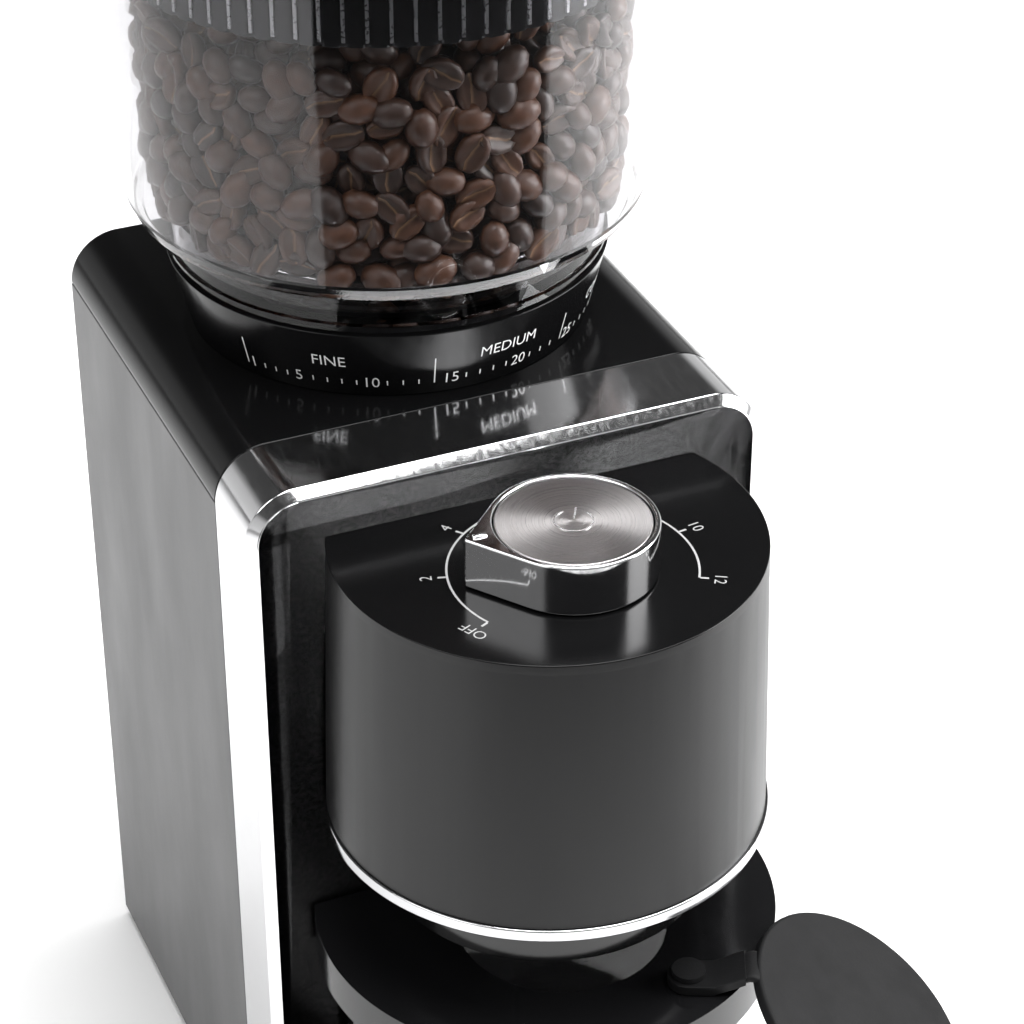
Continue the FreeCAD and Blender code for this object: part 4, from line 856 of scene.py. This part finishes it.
wire(bean_tree, copies.outputs[0], real.inputs[0])
wire(bean_tree, real.outputs[0], paint.inputs["Geometry"])
wire(bean_tree, start.outputs["Roast"], paint.inputs["Material"])
wire(bean_tree, paint.outputs[0], end.inputs[0])

roasted, tree, shader = new_finish("roasted_bean")
shader.inputs["Specular IOR Level"].default_value = 0.5
shader.inputs["Coat Weight"].default_value = 0.08
shader.inputs["Coat Roughness"].default_value = 0.3
roast = tree.nodes.new("ShaderNodeAttribute")
roast.attribute_name = "roast"
crease = tree.nodes.new("ShaderNodeAttribute")
crease.attribute_name = "crease"
brown = tree.nodes.new("ShaderNodeValToRGB")
brown.color_ramp.elements[0].color = (0.017, 0.0066, 0.0034, 1)
brown.color_ramp.elements[1].color = (0.080, 0.030, 0.0125, 1)
wire(tree, roast.outputs["Fac"], brown.inputs["Fac"])
mottle = speckle(tree, 0.0016, 5.0)
patchy = tree.nodes.new("ShaderNodeMix")
patchy.data_type = "RGBA"
patchy.blend_type = "MULTIPLY"
patchy.inputs["Factor"].default_value = 0.8
wire(tree, brown.outputs["Color"], patchy.inputs["A"])
wire(tree, two_tone(tree, mottle, (0.55, 0.52, 0.5), (1.0, 1.0, 1.0)), patchy.inputs["B"])
husk = tree.nodes.new("ShaderNodeMix")
husk.data_type = "RGBA"
husk.inputs["B"].default_value = (0.22, 0.125, 0.062, 1)
wire(tree, between(tree, crease.outputs["Fac"], 0.0, 1.0, 0.70, 1.0), husk.inputs["Factor"])
wire(tree, patchy.outputs["Result"], husk.inputs["A"])
wire(tree, husk.outputs["Result"], shader.inputs["Base Color"])
wire(tree, between(tree, mottle, 0.32, 0.55), shader.inputs["Roughness"])
rough_skin(tree, shader, speckle(tree, 0.006, 1.5), 0.0005)

bean_pattern = placed("bean_pattern", one_bean())
beans_mesh = grown("beans", bean_tree, bean_ports, {
    "Bean": bean_pattern, "Smallest": 0.86, "Largest": 1.06, "Seed": 4, "Roast": roasted}, bean_points)
bpy.data.objects.remove(bean_pattern)
add_mesh("beans", beans_mesh, roasted, "hopper")

# ---- Hopper lid -------------------------------------------------------------------------------
# The lid is smoked plastic with a grip bar on top. Its fluted skirt drops inside the hopper's rim.
# A thin silver strip on each flute is painted highlight, standing in for the light that the flute's edge
# catches.

eased("hopper_lid", 0.00035, lacquer("smoked_lid", (0.03, 0.03, 0.032), 0.07, 0.0, 0.85, 0.004, 0.000008))
# Painted highlight: a silver strip on each flute, in place of the light that its edge catches.
flute_count, flute_radius, flute_middle = 76, 0.0631, 0.3285
highlight_strip_length, highlight_strip_width, highlight_strip_thickness = 0.0125, 0.0008, 0.0004
painted_flute_highlight = bare_metal("painted_flute_highlight", (0.34, 0.34, 0.35), 0.3, grain=0.0008)
crests = grown("crests", row_tree, row_ports, {
    "Count": flute_count, "Start": 0.0, "Step": 2 * math.pi / flute_count, "Radius": flute_radius,
    "Height": flute_middle, "Width": highlight_strip_width, "Length": highlight_strip_length, "Thickness": highlight_strip_thickness,
    "Lean": 0.0, "Ink": painted_flute_highlight})
add_mesh("flute_crests", crests, painted_flute_highlight, "hopper_lid")

# ---- Container --------------------------------------------------------------------------------
# The grounds fall into a clear container. Its black lid holds a soft seal, and a silicone flap
# closes the fill hole. The flap lies open on its pin, and its disc droops over the lid's edge. A
# thin web of the same silicone bends between the flap's strap and its disc.

dress(clear("container_clear", (0.97, 0.97, 0.975), 0.02), "container")
eased("container_lid", 0.0006, lacquer("lid_black", (0.006, 0.006, 0.0065), 0.16, 0.0, 0.0, 0.005, 0.00001))
dress(moulding("seal_silicone", (0.55, 0.55, 0.53), 0.5), "container_seal")
flap_silicone = moulding("flap_silicone", (0.0036, 0.0036, 0.0040), 0.62, 0.0006, 0.00004, 0.1, 0.2)
eased("flap_strap", 0.0007, flap_silicone, 3)
eased("flap_disc", 0.0009, flap_silicone, 3)
dress(flap_silicone, "flap_pin")

pin_low, pin_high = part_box("flap_pin")
pin_axis = Vector(((pin_low[0] + pin_high[0]) / 2, (pin_low[1] + pin_high[1]) / 2, 0.0))
flap_angle = math.radians(-24.5)
flap_turn = Matrix.Translation(pin_axis) @ Matrix.Rotation(flap_angle, 4, "Z")
# Along the strap, height, half width and half wall.
web_path = ((0.0120, 0.11080, 0.0046, 0.0011), (0.0133, 0.11130, 0.0048, 0.0012),
            (0.0144, 0.11165, 0.0049, 0.0012), (0.0154, 0.11170, 0.0051, 0.0012),
            (0.0164, 0.11130, 0.0054, 0.0013), (0.0176, 0.11050, 0.0055, 0.0013))
web_spokes, flat_sides, flat_faces = 20, 0.4, 0.6


def squared(value, power):
    """A sine or cosine pushed towards its ends, which turns a circle into a rounded bar."""
    return math.copysign(abs(value) ** power, value)


web = bmesh.new()
rings = []
for along, height, half_width, half_wall in web_path:
    angles = [2 * math.pi * i / web_spokes for i in range(web_spokes)]
    rings.append([web.verts.new(flap_turn @ Vector((
        along, squared(math.cos(a), flat_sides) * half_width,
        height + squared(math.sin(a), flat_faces) * half_wall))) for a in angles])
for a, b in zip(rings, rings[1:]):
    for i in range(web_spokes):
        j = (i + 1) % web_spokes
        web.faces.new((a[i], a[j], b[j], b[i]))
web.faces.new(rings[0])
web.faces.new(rings[-1][::-1])
bmesh.ops.recalc_face_normals(web, faces=web.faces)
for f in web.faces:
    f.smooth = len(f.verts) == 4
flap_web = placed("flap_web", plain_mesh(web, "flap_web"))
flap_web.data.materials.append(flap_silicone)
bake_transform(flap_web)

# ---- Studio -----------------------------------------------------------------------------------
# A white table under soft boxes at both sides and above. The surroundings are bright near the
# table, dark higher up and grey straight above.

floor_mesh = bpy.data.meshes.new("floor")
floor_half = 6.0
floor_mesh.from_pydata([(x * floor_half, y * floor_half, 0) for x, y in ((-1, -1), (1, -1), (1, 1), (-1, 1))],
                       [], [(0, 1, 2, 3)])
floor = placed("floor", floor_mesh)
table, tree, shader = new_finish("white_table")
wire(tree, two_tone(tree, speckle(tree, 0.3, 2.0), (0.90, 0.90, 0.90), (0.92, 0.92, 0.92)),
     shader.inputs["Base Color"])
shader.inputs["Roughness"].default_value = 0.8
shader.inputs["Specular IOR Level"].default_value = 0.1
floor_mesh.materials.append(table)

sky = bpy.data.worlds.new("studio")
bpy.context.scene.world = sky
sky.use_nodes = True
tree = sky.node_tree
where = tree.nodes.new("ShaderNodeTexCoord")
split = tree.nodes.new("ShaderNodeSeparateXYZ")
wire(tree, where.outputs["Generated"], split.inputs[0])
shade = tree.nodes.new("ShaderNodeValToRGB")
shade.color_ramp.elements[0].color = (0.85, 0.85, 0.85, 1)
shade.color_ramp.elements[1].color = (0.35, 0.35, 0.35, 1)
for position, grey in ((0.10, 0.70), (0.27, 0.60), (0.40, 0.07), (0.80, 0.05)):
    shade.color_ramp.elements.new(position).color = (grey, grey, grey, 1)
wire(tree, split.outputs["Z"], shade.inputs["Fac"])
wire(tree, shade.outputs["Color"], tree.nodes["Background"].inputs["Color"])
tree.nodes["Background"].inputs["Strength"].default_value = 1.0


def soft_box(name, place, aim, width, height, power):
    lamp = bpy.data.lights.new(name, "AREA")
    lamp.shape = "RECTANGLE"
    lamp.size, lamp.size_y, lamp.energy = width, height, power
    stand = placed(name, lamp)
    stand.location = place
    stand.rotation_euler = (Vector(aim) - Vector(place)).to_track_quat("-Z", "Y").to_euler()


middle = (0.0, 0.0, 0.17)
soft_box("left_box", (-1.3, -0.2, 1.5), middle, 1.2, 1.0, 14)
soft_box("right_box", (1.2, -0.45, 0.55), middle, 0.8, 1.1, 30)
soft_box("top_box", (0.25, -0.15, 1.7), middle, 1.4, 1.2, 50)

# A dark card on the table in front keeps the white out of the drum and the hopper. It is only
# there for reflections.
card_mesh = bpy.data.meshes.new("dark_card")
card_near, card_far, card_first, card_last = 0.42, 2.2, -141.0, -38.0
card_height, card_steps = 0.002, 12
outline = [(x, y, card_height) for x, y in
           arc_band(Vector((0, 0, 0)), card_near, card_far, card_first, card_last, card_steps)]
card_mesh.from_pydata(outline, [], [tuple(range(len(outline)))])
card = placed("dark_card", card_mesh)
card.visible_camera = card.visible_diffuse = card.visible_shadow = False
card_mesh.materials.append(moulding("card_felt", (0.02, 0.02, 0.02), 0.9, 0.001, 0.0001))

lens = bpy.data.cameras.new("camera")
lens.lens, lens.sensor_width = 109.25, 36.0
lens.clip_start, lens.clip_end = 0.05, 30.0
camera = placed("camera", lens)
camera.location = (-0.2412, -0.5891, 0.6002)
aim = Vector((0.00971, -0.007, 0.1912)) - camera.location
camera.rotation_euler = aim.to_track_quat("-Z", "Y").to_euler()
bpy.context.scene.camera = camera
bpy.context.scene.view_settings.view_transform = "Standard"
